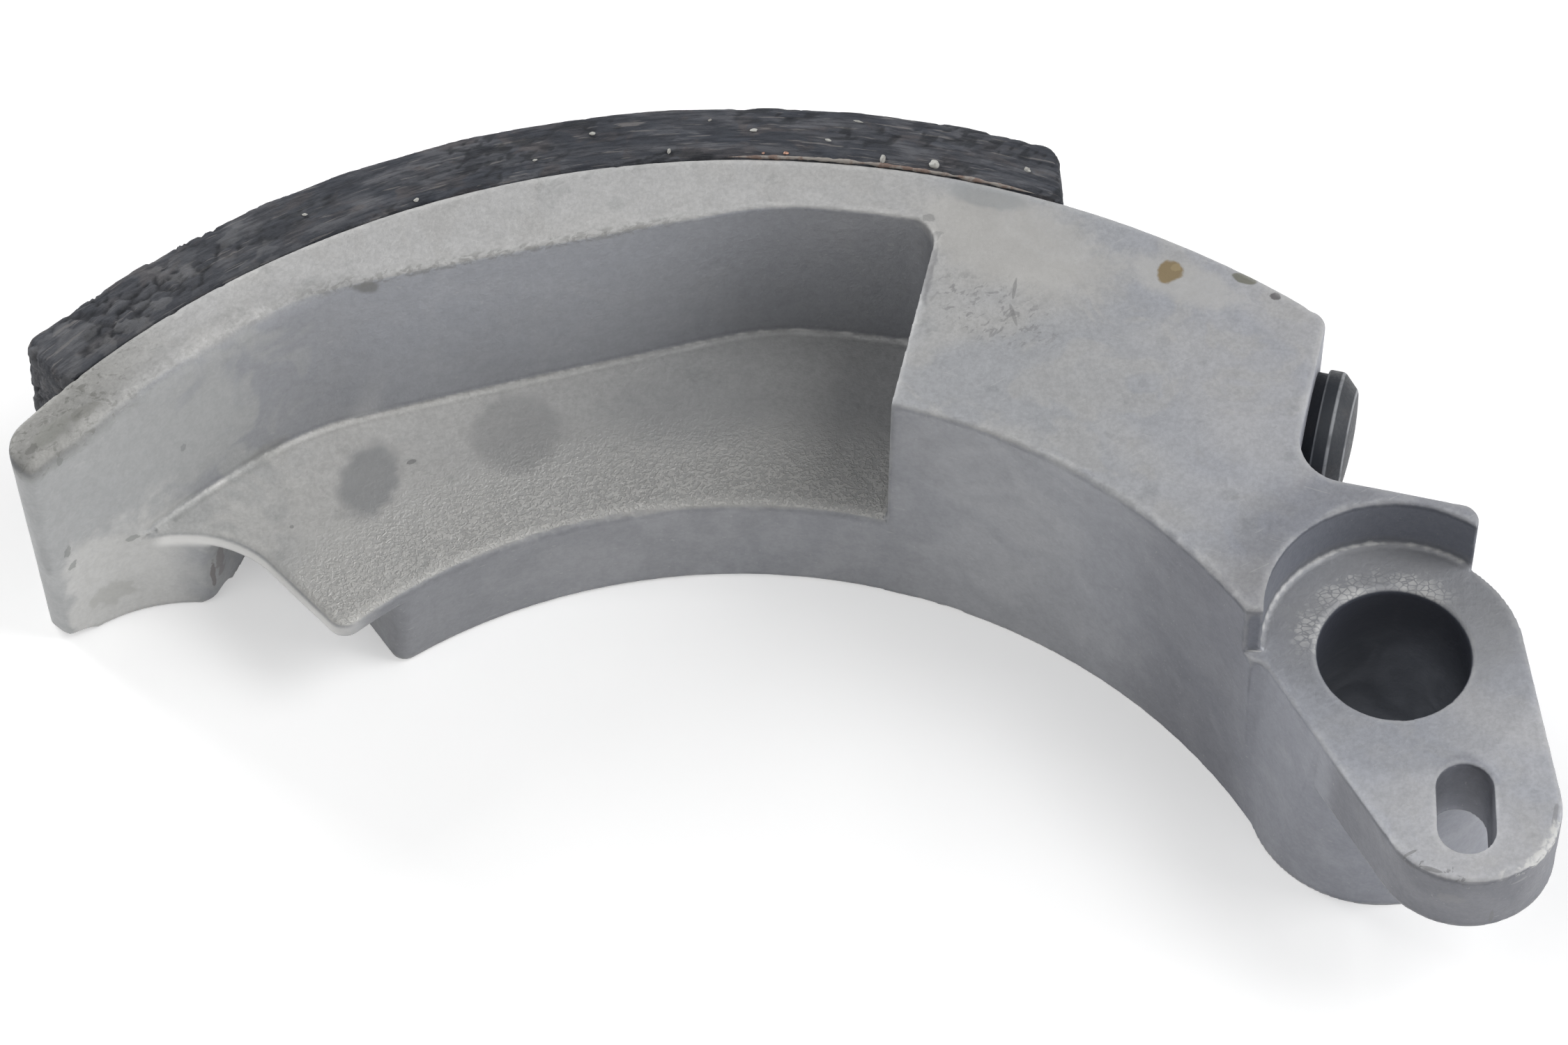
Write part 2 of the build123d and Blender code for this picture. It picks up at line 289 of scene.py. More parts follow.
def mixed(tree, share, plain, painted, blend="MIX"):
    """The plain colour with the painted one over it, as strongly as the share says."""
    node = tree.nodes.new("ShaderNodeMix")
    node.data_type = "RGBA"
    node.blend_type = blend
    plug(tree, share, node.inputs[0])
    plug(tree, plain, node.inputs[6])
    plug(tree, painted, node.inputs[7])
    return node.outputs[2]


def tinted(tree, share, plain, tint):
    """The plain colour made darker, paler or bluer by a tint, as strongly as the share says."""
    return mixed(tree, share, plain, tint, "MULTIPLY")


def kept(tree, name, output="Fac"):
    """An attribute that is stored with the piece's mesh."""
    node = tree.nodes.new("ShaderNodeAttribute")
    node.attribute_name = name
    return node.outputs[output]


def raised(tree, height, depth):
    """Bumps from a height between 0 and 1, with the depth in millimetres."""
    node = tree.nodes.new("ShaderNodeBump")
    node.inputs["Distance"].default_value = depth * MM
    plug(tree, height, node.inputs["Height"])
    return node.outputs["Normal"]


# %% [markdown]
# ## The casting's skin
# Molten aluminium shrinks a little as it sets, so broad faces are faintly wavy, and the mould's own texture
# and a few knocks leave shallow dents. On this shoe the edge between the rim's top face and its inner wall
# is crisp in the middle and worn round towards the toe, so the toe gets more relaxing than the rest.

# %% Casting
SQUARE = 0.25
SOFT_PASSES = 1
SOFT_STRENGTH = 0.4
casting = fine_copy("shoe_casting", "cast_shoe", SQUARE, sharp=True)
soft = relaxed(casting, points_of(casting), SOFT_PASSES, SOFT_STRENGTH)

# %% [markdown]
# Three places are worn rounder than the rest: the toe's upper inner edge, the upright corner where the toe's
# end meets its inner wall, and the corner of the block that hangs below the toe. Each is found by how far a
# point lies from a line along that edge. Many passes of relaxing, held back by this distance, then round the
# edge and leave everything else as it was.

# %% Worn corners
WORN_PASSES = 60
WORN_STRENGTH = 0.6
TOE_SOFT_FROM = 116
TOE_TOP_BEARING = 144.1
TOE_LEAN = math.tan(math.radians(5.0))
WEB_LEVEL_RADIUS = 56.55
BLOCK_RADIUS = 58.2
BLOCK_CORNER = around_drum(54.0, 132.05, 0)


def near_toe_corner(points):
    """1 along the upright corner where the toe's end meets its inner wall, fading to 0 round it."""
    height = points[:, 2]
    rise = np.clip((height - WEB_TOP) / (HEIGHT - WEB_TOP), 0, 1)
    above_web = WEB_LEVEL_RADIUS + rise * (POCKET_TOE_RADIUS - WEB_LEVEL_RADIUS)
    corner_radius = np.where(height > WEB_TOP, above_web, BLOCK_RADIUS)
    turn = np.radians(TOE_TOP_BEARING) - (HEIGHT - height) * TOE_LEAN / corner_radius
    across = points[:, 0] - DRUM_X - corner_radius * np.cos(turn)
    along = points[:, 1] - DRUM_Y - corner_radius * np.sin(turn)
    return 1 - smoothstep(np.hypot(across, along), 1.0, 2.4)


from_drum = soft[:, :2] - (DRUM_X, DRUM_Y)
radius = np.hypot(*from_drum.T)
bearing = np.degrees(np.arctan2(from_drum[:, 1], from_drum[:, 0]))
near_edge = 1 - smoothstep(np.hypot(radius - POCKET_TOE_RADIUS, soft[:, 2] - HEIGHT), 0.8, 1.9)
toe_share = smoothstep(bearing, TOE_SOFT_FROM, TOE_SOFT_FROM + 8)
from_block = np.hypot(soft[:, 0] - BLOCK_CORNER.x, soft[:, 1] - BLOCK_CORNER.y)
near_block = (1 - smoothstep(from_block, 0.7, 1.6)) * (1 - smoothstep(soft[:, 2], 5.4, 6.4))
worn = np.maximum(near_edge * toe_share, near_block * 0.5)
worn = np.maximum(worn, near_toe_corner(soft))
soft = relaxed(casting, soft, WORN_PASSES, WORN_STRENGTH * worn)
move_points(casting, soft)
print("points at worn corners:", int((worn > 0.5).sum()), "of", len(soft))

# %% [markdown]
# Edges stand out because they catch knocks and rubbing. A point lies on an edge if relaxing it much further
# would pull it inwards, so that pull, in millimetres, is kept with the mesh. The material later uses it to
# paint bright worn edges, and painted shade in inner corners with a painted highlight along their bottoms.

# %% Edge measure and dents
EDGE_PULL = 0.09
outward = normals_of(casting)
pull = ((soft - relaxed(casting, soft, 8)) * outward).sum(1)
keep_attribute(casting, "edge", np.clip(pull / EDGE_PULL, -1, 1))
keep_attribute(casting, "wall", 1 - np.abs(outward[:, 2]))
broad = waves(soft, 9.0, 3.1)
middling = waves(soft, 2.6, 17.4)
fine = waves(soft, 0.9, 41.7)
pits = smoothstep(waves(soft, 1.5, 77.0), 0.52, 0.72)
knocks = smoothstep(pull, 0.02, 0.06) * smoothstep(waves(soft, 1.3, 55.3), 0.4, 0.62)
stands_on = smoothstep(soft[:, 2], 0.05, 0.6)
swell = 0.03 * broad + 0.008 * middling + 0.004 * fine - 0.03 * pits - 0.06 * knocks
move_points(casting, soft + outward * (swell * stands_on)[:, None])
print("edge pull in mm:", round(pull.min(), 3), round(pull.max(), 3))

# %% [markdown]
# Squares this fine are needed along the edges and nowhere else. A decimation takes points out of the broad
# faces first, because they change the shape least there, and the edges keep theirs.

# %% Fewer points on the broad faces
CASTING_TRIANGLES = 185000


def thinned(piece, triangles):
    """Fewer points on the piece's broad faces, down to about that many triangles in all."""
    before = sum(len(face.vertices) - 2 for face in piece.data.polygons)
    thinning = piece.modifiers.new("Fewer points", "DECIMATE")
    thinning.ratio = triangles / before
    evaluated = piece.evaluated_get(bpy.context.evaluated_depsgraph_get())
    mesh = bpy.data.meshes.new_from_object(evaluated)
    piece.modifiers.clear()
    piece.data = mesh
    after = sum(len(face.vertices) - 2 for face in mesh.polygons)
    print(piece.name, "triangles:", before, "to", after)


thinned(casting, CASTING_TRIANGLES)

# %% [markdown]
# ## The casting's colour
# Bare die-cast aluminium isn't one grey. Its skin is pale and a little warm where it was rubbed, bluish
# where it was left alone, darker on the walls, and freckled where the web's thin edge was trimmed. A
# photograph can't be copied patch by patch with noise, so noise gives the mottling everywhere, and the few
# marks that one would recognise this shoe by are painted at their own places. The colour is built in
# layers, with one function for each: a layer takes the colour so far and gives it back with its own part
# painted over it.

# %% Casting colours
SKIN_COOL = (0.415, 0.424, 0.444)
SKIN_PALE = (0.48, 0.478, 0.475)
SKIN_PATCH = (0.56, 0.555, 0.545)
WEB_SKIN = (0.69, 0.682, 0.658)
WALL_TINT = (0.83, 0.83, 0.845)
TOE_PALE_AND_LIT = (0.5, 0.506, 0.502)
TOE_FOOT_PALE_AND_LIT = (0.62, 0.618, 0.606)
WORN = (0.62, 0.62, 0.61)
BORE_OIL_AND_SHADE = (0.175, 0.19, 0.225)
SLOT_MIDDLE = (4.2, -11.8, 14)
SLOT_HALF = (2.3, 3.85)
TALL = 1e6

# %% [markdown]
# Most layers ask the same questions: how far is this point from the pivot or from the drum's axis, does it
# lie on a wall or on a level face, is it on the rim's top or on the web? Each answer is a chain of nodes,
# so they are made once here and handed to every layer. A distance about an upright axis uses a height so
# tall that the point's own height no longer counts.


# %% Shared measures of the casting
def casting_measures(tree, place):
    """The distances, masks and noises that several layers of the casting's colour share."""
    split = tree.nodes.new("ShaderNodeSeparateXYZ")
    plug(tree, counted_from(tree, place), split.inputs[0])
    at = SimpleNamespace(place=place)
    at.along, at.across, at.height = split.outputs
    at.from_pivot = distance_from(tree, place, (0, 0, 0), 0, (1, 1, TALL))
    at.from_hub = distance_from(tree, place, (HUB_X, HUB_Y, 0), 0, (1, 1, TALL))
    at.from_axis = distance_from(tree, place, (DRUM_X, DRUM_Y, 0), 0, (1, 1, TALL))
    at.from_slot = distance_from(tree, place, SLOT_MIDDLE, 0, (*SLOT_HALF, TALL))
    at.edge = kept(tree, "edge")
    at.wall = ramp(tree, kept(tree, "wall"), 0.35, 0.75)
    at.level = ramp(tree, kept(tree, "wall"), 0.45, 0.25)
    at.calm = ramp(tree, at.wall, 0.0, 1.0, 1.0, 0.15)
    at.on_top = product(tree, ramp(tree, at.height, 20.6, 21.0), at.level)
    near_web = product(tree, ramp(tree, at.height, 9.4, 8.8), ramp(tree, at.height, 7.6, 8.0))
    at.on_web = product(tree, near_web, at.level)
    at.in_slot = product(tree, ramp(tree, at.from_slot, 1.04, 0.99), at.wall)
    at.patches = cloud(tree, place, 5.0, 4, 0.52, twist=1.4, start=(7, 3, 0))
    at.stains = cloud(tree, place, 2.6, 4, 0.6, start=(31, 8, 0))
    at.freckles = cloud(tree, place, 0.7, 4, 0.62)
    at.specks = cloud(tree, place, 0.55, 4, 0.65, twist=0.6, stretch=(1.6, 0.9, 1), turn=35)
    at.grain = cloud(tree, place, 0.25, 2, 0.6)
    return at


# %% [markdown]
# The first layer is the skin as it left the mould: cool and pale clouds, strong on the level faces and
# faint on the walls, which were scraped even as the casting was pushed out. Handling has rubbed the rim's
# top paler.


# %% Mottled skin
def mottled(tree, at):
    """Cool and pale clouds, with the rim's top rubbed paler."""
    broad = cloud(tree, at.place, 15, 2, twist=0.8)
    clouds = product(tree, ramp(tree, broad, 0.4, 0.6), at.calm)
    colour = mixed(tree, clouds, SKIN_COOL, SKIN_PALE)
    colour = tinted(tree, ramp(tree, at.along, -24, -8), colour, (0.975, 0.985, 1.03))
    fewer_on_finger = ramp(tree, at.from_pivot, 10, 26, 0.35, 1.0)
    patch_share = product(tree, ramp(tree, at.patches, 0.5, 0.6, top=0.4), at.calm, fewer_on_finger)
    colour = mixed(tree, patch_share, colour, SKIN_PATCH)
    rubbed = product(tree, at.on_top, ramp(tree, at.along, -28, -42, top=0.7))
    return mixed(tree, rubbed, colour, SKIN_PATCH)


# %% [markdown]
# The web is warm and pale, and painted shade makes it greyer towards the arm, less so along its free edge.
# The walls keep the mould's darker, bluer skin. The pocket's wall gets painted light in its middle and
# painted shade towards the arm's end, and the concave side is darker at its toe end, paler further on, and
# darkest where the body meets the boss, a corner that gets painted shade.


# %% Web and walls
def web_and_walls(tree, at, colour):
    """The web's pale skin and painted shade, and the walls' greys with painted light and shade."""
    colour = mixed(tree, product(tree, at.on_web, 0.8), colour, WEB_SKIN)
    # Painted shade: the web greys towards the arm, less near its free edge.
    shade_away_from_free_edge = ramp(tree, at.from_hub, HUB_RADIUS + 3, HUB_RADIUS + 9, 0.45, 1.0)
    painted_shade_to_arm = product(tree, at.on_web, ramp(tree, at.along, -70, -42), shade_away_from_free_edge)
    colour = tinted(tree, painted_shade_to_arm, colour, (0.68, 0.69, 0.71))

    # Painted light on the pocket's wall, strongest in its middle and faint near the arm's end, where shade
    # falls.
    pocket_wall = product(tree, at.wall, ramp(tree, at.from_hub, HUB_RADIUS + 5, HUB_RADIUS + 9))
    pocket_wall = product(tree, pocket_wall, ramp(tree, at.height, 7.8, 8.4))
    light_away_from_arm_end = ramp(tree, at.along, -34, -54, 0.1, 1.0)
    light_away_from_toe = ramp(tree, at.along, -75, -63, 0.3, 1.0)
    colour = tinted(tree, product(tree, pocket_wall, light_away_from_arm_end, light_away_from_toe), colour, (1.21, 1.22, 1.24))

    concave = product(tree, at.wall, ramp(tree, at.from_hub, HUB_RADIUS + 2, HUB_RADIUS + 1))
    toe_end = product(tree, concave, ramp(tree, at.along, -48, -62))
    colour = tinted(tree, toe_end, colour, (0.87, 0.87, 0.87))
    under_arm = product(tree, concave, ramp(tree, at.along, -33, -27))
    paler = product(tree, under_arm, ramp(tree, at.along, -15, -20))
    colour = tinted(tree, paler, colour, (1.13, 1.13, 1.13))
    # Painted shade in the corner where the concave side meets the boss.
    boss_corner_shade = product(tree, under_arm, ramp(tree, at.along, -18, -13), ramp(tree, at.along, -7.5, -10.5))
    colour = tinted(tree, boss_corner_shade, colour, (0.72, 0.72, 0.73))
    return tinted(tree, at.wall, colour, WALL_TINT)


# %% [markdown]
# Near the toe the walls are paler up to an uneven border, partly paler skin and partly painted light, and the
# foot of the toe is
# the palest of all. The rim's top is the other way round there: it is grimy, with dark specks in its pits.
# A mask gets an uneven border when noise is added to the place before the ramp cuts it.


# %% Toe
def toe_skin(tree, at, colour):
    """The toe's walls and foot, paler skin and painted light, and its grimy top."""
    uneven_border = worked_out(tree, "ADD", at.along, ramp(tree, at.patches, 0.35, 0.65, -4.0, 4.0))
    toe = ramp(tree, uneven_border, -72, -80)
    # Partly paler skin, partly painted light on the toe's walls and foot.
    toe_wall_pale_and_lit = product(tree, toe, ramp(tree, at.height, 20.9, 20.3), 0.75)
    colour = mixed(tree, toe_wall_pale_and_lit, colour, TOE_PALE_AND_LIT)

    uneven_height = worked_out(tree, "ADD", at.height, ramp(tree, at.stains, 0.3, 0.7, -1.3, 1.3))
    uneven_end = worked_out(tree, "ADD", at.along, ramp(tree, at.stains, 0.3, 0.7, -0.4, 0.4))
    toe_foot_pale_and_lit = product(tree, ramp(tree, uneven_height, 11.8, 9.2), at.wall, ramp(tree, at.along, -78, -81.5))
    toe_foot_pale_and_lit = product(tree, toe_foot_pale_and_lit, ramp(tree, uneven_end, -87.2, -86.6), 0.9)
    colour = mixed(tree, toe_foot_pale_and_lit, colour, TOE_FOOT_PALE_AND_LIT)

    grimy = product(tree, ramp(tree, at.along, -78, -86.5), ramp(tree, at.height, 19.6, 20.8))
    colour = tinted(tree, grimy, colour, (0.68, 0.68, 0.66))
    speck_share = product(tree, grimy, ramp(tree, at.specks, 0.54, 0.64, top=0.7))
    return mixed(tree, speck_share, colour, (0.2, 0.2, 0.185))


# %% [markdown]
# The arm's top carries a cluster of dark specks beside the pocket. Round the pivot, the recess wall and the
# slot's wall and upper rim get painted shade, the finger's level face gets painted light and its side painted
# shade, and the thin lip behind the recess is greyer than the arm that it grows from.


# %% Arm and finger
def arm_and_finger(tree, at, colour):
    """The arm's specks, painted shade in the recess and the slot, painted light and shade on the finger, and
    the lip.
    """
    on_arm = product(tree, ramp(tree, at.along, -31, -29), at.on_top)
    by_pocket = ramp(tree, distance_from(tree, at.place, (-26.2, 23.6, HEIGHT), -25, (5.5, 2.6, 2)), 1.2, 0.6)
    arm_specks = product(tree, by_pocket, on_arm, ramp(tree, at.specks, 0.53, 0.61, top=0.55))
    colour = mixed(tree, arm_specks, colour, (0.24, 0.24, 0.245))

    # Painted shade on the recess wall.
    recess_wall_shade = product(tree, ramp(tree, at.from_pivot, 10, 9.2), at.wall)
    recess_wall_shade = product(tree, recess_wall_shade, ramp(tree, at.height, 16.95, 17.3))
    colour = tinted(tree, recess_wall_shade, colour, (0.72, 0.735, 0.765))
    # Painted shade on the slot's wall, and darker along its upper rim.
    colour = tinted(tree, at.in_slot, colour, (0.88, 0.885, 0.905))
    slot_rim_shade = product(tree, ramp(tree, at.from_slot, 1.16, 1.0), ramp(tree, at.height, 15.6, 16.4))
    slot_rim_shade = product(tree, slot_rim_shade, ramp(tree, at.across, -12.5, -9.5), 0.45)
    colour = tinted(tree, slot_rim_shade, colour, (0.6, 0.6, 0.62))

    finger = product(tree, ramp(tree, at.from_pivot, 8.8, 10), ramp(tree, at.along, -8, -5))
    finger = product(tree, finger, ramp(tree, at.height, 11.0, 11.5), ramp(tree, at.height, 17.0, 16.7))
    # Painted light on the finger's level face and painted shade on its side.
    colour = tinted(tree, product(tree, finger, at.level), colour, (1.3, 1.3, 1.3))
    colour = tinted(tree, product(tree, finger, at.wall), colour, (0.7, 0.695, 0.69))
    lip = product(tree, ramp(tree, at.from_pivot, 14, 10), ramp(tree, at.height, 20.8, 21.1))
    return tinted(tree, lip, colour, (0.75, 0.75, 0.76))


# %% [markdown]
# Smaller stains, freckles and grain lie over everything so far, and keep the large parts from looking
# airbrushed. Where the web's thin edge was trimmed, the skin is broken into bright and dark grains. A few
# scratches are noise stretched so long and thin that only lines are left of it.


# %% Small texture
def small_texture(tree, at, colour, trimmed):
    """Stains, freckles, grain, the web's trimmed edge and fine scratches."""
    stain_share = product(tree, ramp(tree, at.stains, 0.6, 0.7, top=0.3), at.calm)
    colour = tinted(tree, stain_share, colour, (0.6, 0.62, 0.62))
    colour = tinted(tree, ramp(tree, at.freckles, 0.4, 0.62, top=0.6), colour, (0.9, 0.9, 0.9))
    finer_on_walls = ramp(tree, at.wall, 0.0, 1.0, 0.7, 0.35)
    grain_share = product(tree, ramp(tree, at.grain, 0.35, 0.65), finer_on_walls)
    colour = tinted(tree, grain_share, colour, (0.86, 0.86, 0.86))

    bright_grains = product(tree, trimmed, ramp(tree, at.grain, 0.44, 0.58), 0.45)
    colour = mixed(tree, bright_grains, colour, (0.74, 0.73, 0.7))
    dark_grains = product(tree, trimmed, ramp(tree, at.grain, 0.45, 0.36, top=0.3))
    colour = mixed(tree, dark_grains, colour, (0.28, 0.28, 0.275))

    for turn, reach, low in ((32, 9, 0.7), (-18, 12, 0.72)):
        lines = cloud(tree, at.place, 0.3, 2, 0.4, stretch=(reach, 0.5, 1), turn=turn)
        colour = mixed(tree, ramp(tree, lines, low, low + 0.05, top=0.2), colour, WORN)
    return colour


# %% [markdown]
# The marks come next. Each is an oval at its own place, with its outline pushed in and out by noise: two
# round damp-looking patches and some specks on the web, a brown spot and darker ones on the arm, the grime
# at the toe, and a few nicks. Large marks fade over a wider border than small ones do.

# %% Marks
# Each mark: centre, half width, length and height, turn in degrees, colour, strength, how ragged it is
MARKS = [
    ((-67.3, 18.3, WEB_TOP), (1.9, 3.1, 1.2), -14, (0.34, 0.345, 0.35), 0.8, 0.8),
    ((-57.7, 22.5, WEB_TOP), (3.1, 3.2, 1.2), -20, (0.3, 0.302, 0.305), 0.45, 0.9),
    ((-46.3, 24.6, WEB_TOP), (5.5, 2.8, 1.2), 5, (0.36, 0.365, 0.37), 0.3, 2.4),
    ((-74.6, 20.9, WEB_TOP), (2.4, 1.0, 1.2), 40, (0.3, 0.3, 0.285), 0.45, 0.8),
    ((-64.6, 19.9, WEB_TOP), (0.2, 0.36, 1.2), -60, (0.2, 0.2, 0.2), 0.6, 0.3),
    ((-72.3, 14.4, WEB_TOP), (0.22, 0.18, 1.2), 0, (0.2, 0.2, 0.2), 0.5, 0.3),
    ((-43.9, 31.8, WEB_TOP + 0.5), (1.6, 0.12, 1.2), 24, (0.6, 0.6, 0.59), 0.6, 0.1),
    ((-24.6, 29.4, HEIGHT), (6.6, 3.7, 1.2), -25, (0.53, 0.52, 0.5), 0.6, 1.8),
    ((-26.4, 33.2, HEIGHT), (2.6, 0.9, 1.2), -14, (0.33, 0.345, 0.355), 0.6, 0.8),
    ((-13.5, 26.4, HEIGHT), (4.2, 1.6, 1.2), -24, (0.52, 0.512, 0.495), 0.6, 1.2),
    ((-66.7, 25.15, HEIGHT), (1.7, 0.16, 1.2), 9, (0.2, 0.2, 0.19), 0.7, 0.35),
    ((-14.3, 27.2, HEIGHT), (0.8, 0.95, 1.2), -25, (0.27, 0.205, 0.11), 0.95, 0.3),
    ((-13.9, 27.55, HEIGHT), (0.3, 0.35, 1.2), -25, (0.36, 0.29, 0.17), 0.7, 0.3),
    ((-9.4, 26.7, HEIGHT), (0.85, 0.4, 1.2), -20, (0.17, 0.17, 0.135), 0.85, 0.3),
    ((-7.4, 25.3, HEIGHT), (0.38, 0.3, 1.2), 0, (0.14, 0.135, 0.14), 0.85, 0.3),
    ((-24.6, 25.6, HEIGHT), (0.13, 0.8, 1.2), -8, (0.2, 0.2, 0.2), 0.55, 0.5),
    ((-24.7, 23.4, HEIGHT), (0.12, 0.9, 1.2), 14, (0.22, 0.22, 0.22), 0.5, 0.5),
    ((-30.3, 31.3, HEIGHT), (0.5, 0.3, 1.2), -20, (0.24, 0.24, 0.24), 0.55, 0.5),
    ((-29.9, 29.8, HEIGHT), (0.7, 0.3, 1.2), 35, (0.25, 0.25, 0.25), 0.5, 0.5),
    ((-87.2, 12.4, HEIGHT), (1.5, 0.55, 1.2), 44, (0.27, 0.275, 0.25), 0.5, 1.4),
    ((-88.5, 10.8, HEIGHT), (0.25, 0.5, 0.8), -30, (0.17, 0.17, 0.16), 0.6, 0.7),
    ((-85.2, 14.0, HEIGHT), (1.1, 0.4, 1.2), 40, (0.24, 0.24, 0.22), 0.5, 1.2),
    ((-86.7, 10.75, 20.3), (0.25, 0.25, 0.3), 0, (0.22, 0.23, 0.22), 0.6, 0.3),
    ((-82.8, 13.05, 8.6), (0.5, 0.35, 0.3), 25, (0.27, 0.28, 0.27), 0.6, 0.5),
    ((-86.75, 10.55, 10.3), (0.25, 0.25, 0.45), 0, (0.24, 0.25, 0.24), 0.6, 0.5),
    ((-86.6, 10.7, 8.6), (0.25, 0.25, 0.3), 0, (0.24, 0.25, 0.24), 0.6, 0.5),
    ((-79.4, 16.85, 13.5), (0.25, 0.25, 0.3), 0, (0.24, 0.25, 0.25), 0.5, 0.4),
    ((-84.3, 12.2, 3.2), (1.5, 1.2, 1.2), 25, (0.42, 0.42, 0.4), 0.5, 1.2),
    ((-77.75, 13.8, 3.2), (0.16, 0.5, 1.6), 0, (0.16, 0.135, 0.13), 0.6, 0.5),
    ((-77.3, 14.7, 4.2), (0.3, 0.6, 1.9), 0, (0.22, 0.19, 0.185), 0.5, 0.6),
    # The dark oval on the recess floor round the bore is partly wear and partly painted shade from the recess
    # wall.
    ((0.0, 3.4, FINGER_TOP), (9.2, 6.2, 1.2), 0, (0.3, 0.305, 0.32), 0.7, 0.8),
    ((0.5, -15.3, FINGER_TOP), (0.6, 0.12, 1.2), 30, (0.2, 0.2, 0.2), 0.6, 0.3),
    ((1.9, -16.5, FINGER_TOP), (0.7, 0.12, 1.2), -20, (0.2, 0.2, 0.2), 0.6, 0.3),
    ((9.8, -12.4, FINGER_TOP), (0.16, 1.0, 1.2), -10, (0.26, 0.26, 0.27), 0.55, 0.5),
    ((3.2, -17.2, 14.6), (0.9, 0.6, 0.5), 20, (0.27, 0.27, 0.28), 0.45, 0.6),
    ((6.0, -17.0, 12.6), (0.12, 0.6, 0.7), -20, (0.2, 0.2, 0.2), 0.55, 0.3),
]


def marked(tree, at, colour):
    """The colour with every mark of the table painted on it."""
    ragged = ramp(tree, cloud(tree, at.place, 1.0, 4, 0.6), 0.25, 0.75, -1.0, 1.0)
    for centre, size, turn, paint, strength, reach in MARKS:
        away = distance_from(tree, at.place, centre, turn, size)
        longest = max(size[:2])
        pushed = worked_out(tree, "ADD", away, product(tree, ragged, reach * 0.5 / longest))
        fade = min(0.1 + 0.05 * longest, 0.3)
        colour = mixed(tree, ramp(tree, pushed, 1 + fade, 1 - fade, top=strength), colour, paint)
    return colour


# %% [markdown]
# The pin has flaked the skin round the bore's mouth, most of all on the side away from the finger's tip. A
# Voronoi pattern's cell borders look like the cracks between such chips. Inside the bore the skin is dark
# with oil and with painted shade, and painted shade makes it darkest near the top.


# %% Bore
def flaked_mouth(tree, at, colour):
    """Flaked chips round the bore's mouth."""
    ring_width = worked_out(tree, "ADD", at.from_pivot, ramp(tree, at.freckles, 0.3, 0.7, -0.5, 0.5))
    away_from_tip = ramp(tree, distance_from(tree, at.place, (-2.6, 5.4, FINGER_TOP)), 7.6, 4.6)
    flaked = product(tree, ramp(tree, ring_width, 6.9, 5.9), ramp(tree, at.height, 16.3, 16.6), away_from_tip)
    chips = tree.nodes.new("ShaderNodeTexVoronoi")
    chips.feature = "DISTANCE_TO_EDGE"
    chips.inputs["Scale"].default_value = 1.0
    plug(tree, counted_from(tree, at.place, size=(0.5, 0.38, 0.5)), chips.inputs["Vector"])
    still_on = ramp(tree, at.stains, 0.42, 0.56, 0.1, 0.75)
    chip_tops = product(tree, flaked, ramp(tree, chips.outputs["Distance"], 0.03, 0.14), still_on)
    colour = mixed(tree, chip_tops, colour, (0.62, 0.62, 0.615))
    cracks = product(tree, flaked, ramp(tree, chips.outputs["Distance"], 0.08, 0.02, top=0.35))
    return mixed(tree, cracks, colour, (0.24, 0.245, 0.255))


def inside_bore(tree, at, colour):
    """The bore's wall, dark with oil and painted shade, and painted darker near the top."""
    in_bore = product(tree, ramp(tree, at.from_pivot, 5.3, 5.1), ramp(tree, at.height, 16.75, 16.6))
    colour = mixed(tree, in_bore, colour, BORE_OIL_AND_SHADE)
    # Painted shade, darkest towards the top of the bore.
    bore_top_shade = product(tree, in_bore, ramp(tree, at.height, 8, 15.5))
    return tinted(tree, bore_top_shade, colour, (0.4, 0.4, 0.43))


# %% [markdown]
# The last layers use the edge measure that was kept with the mesh. Edges that stick out are rubbed a little
# bright, folds get painted shade with a painted highlight as a thread right at their bottom, the rim's inner
# edge holds dirt, and the web's free edge by the window is clean. The top edge at the pocket's end is painted
# darker, painted shade that tones down the lamps' highlight there. The finger's tip was knocked: its upper
# edge is flaked bright, with dark nicks beside it.


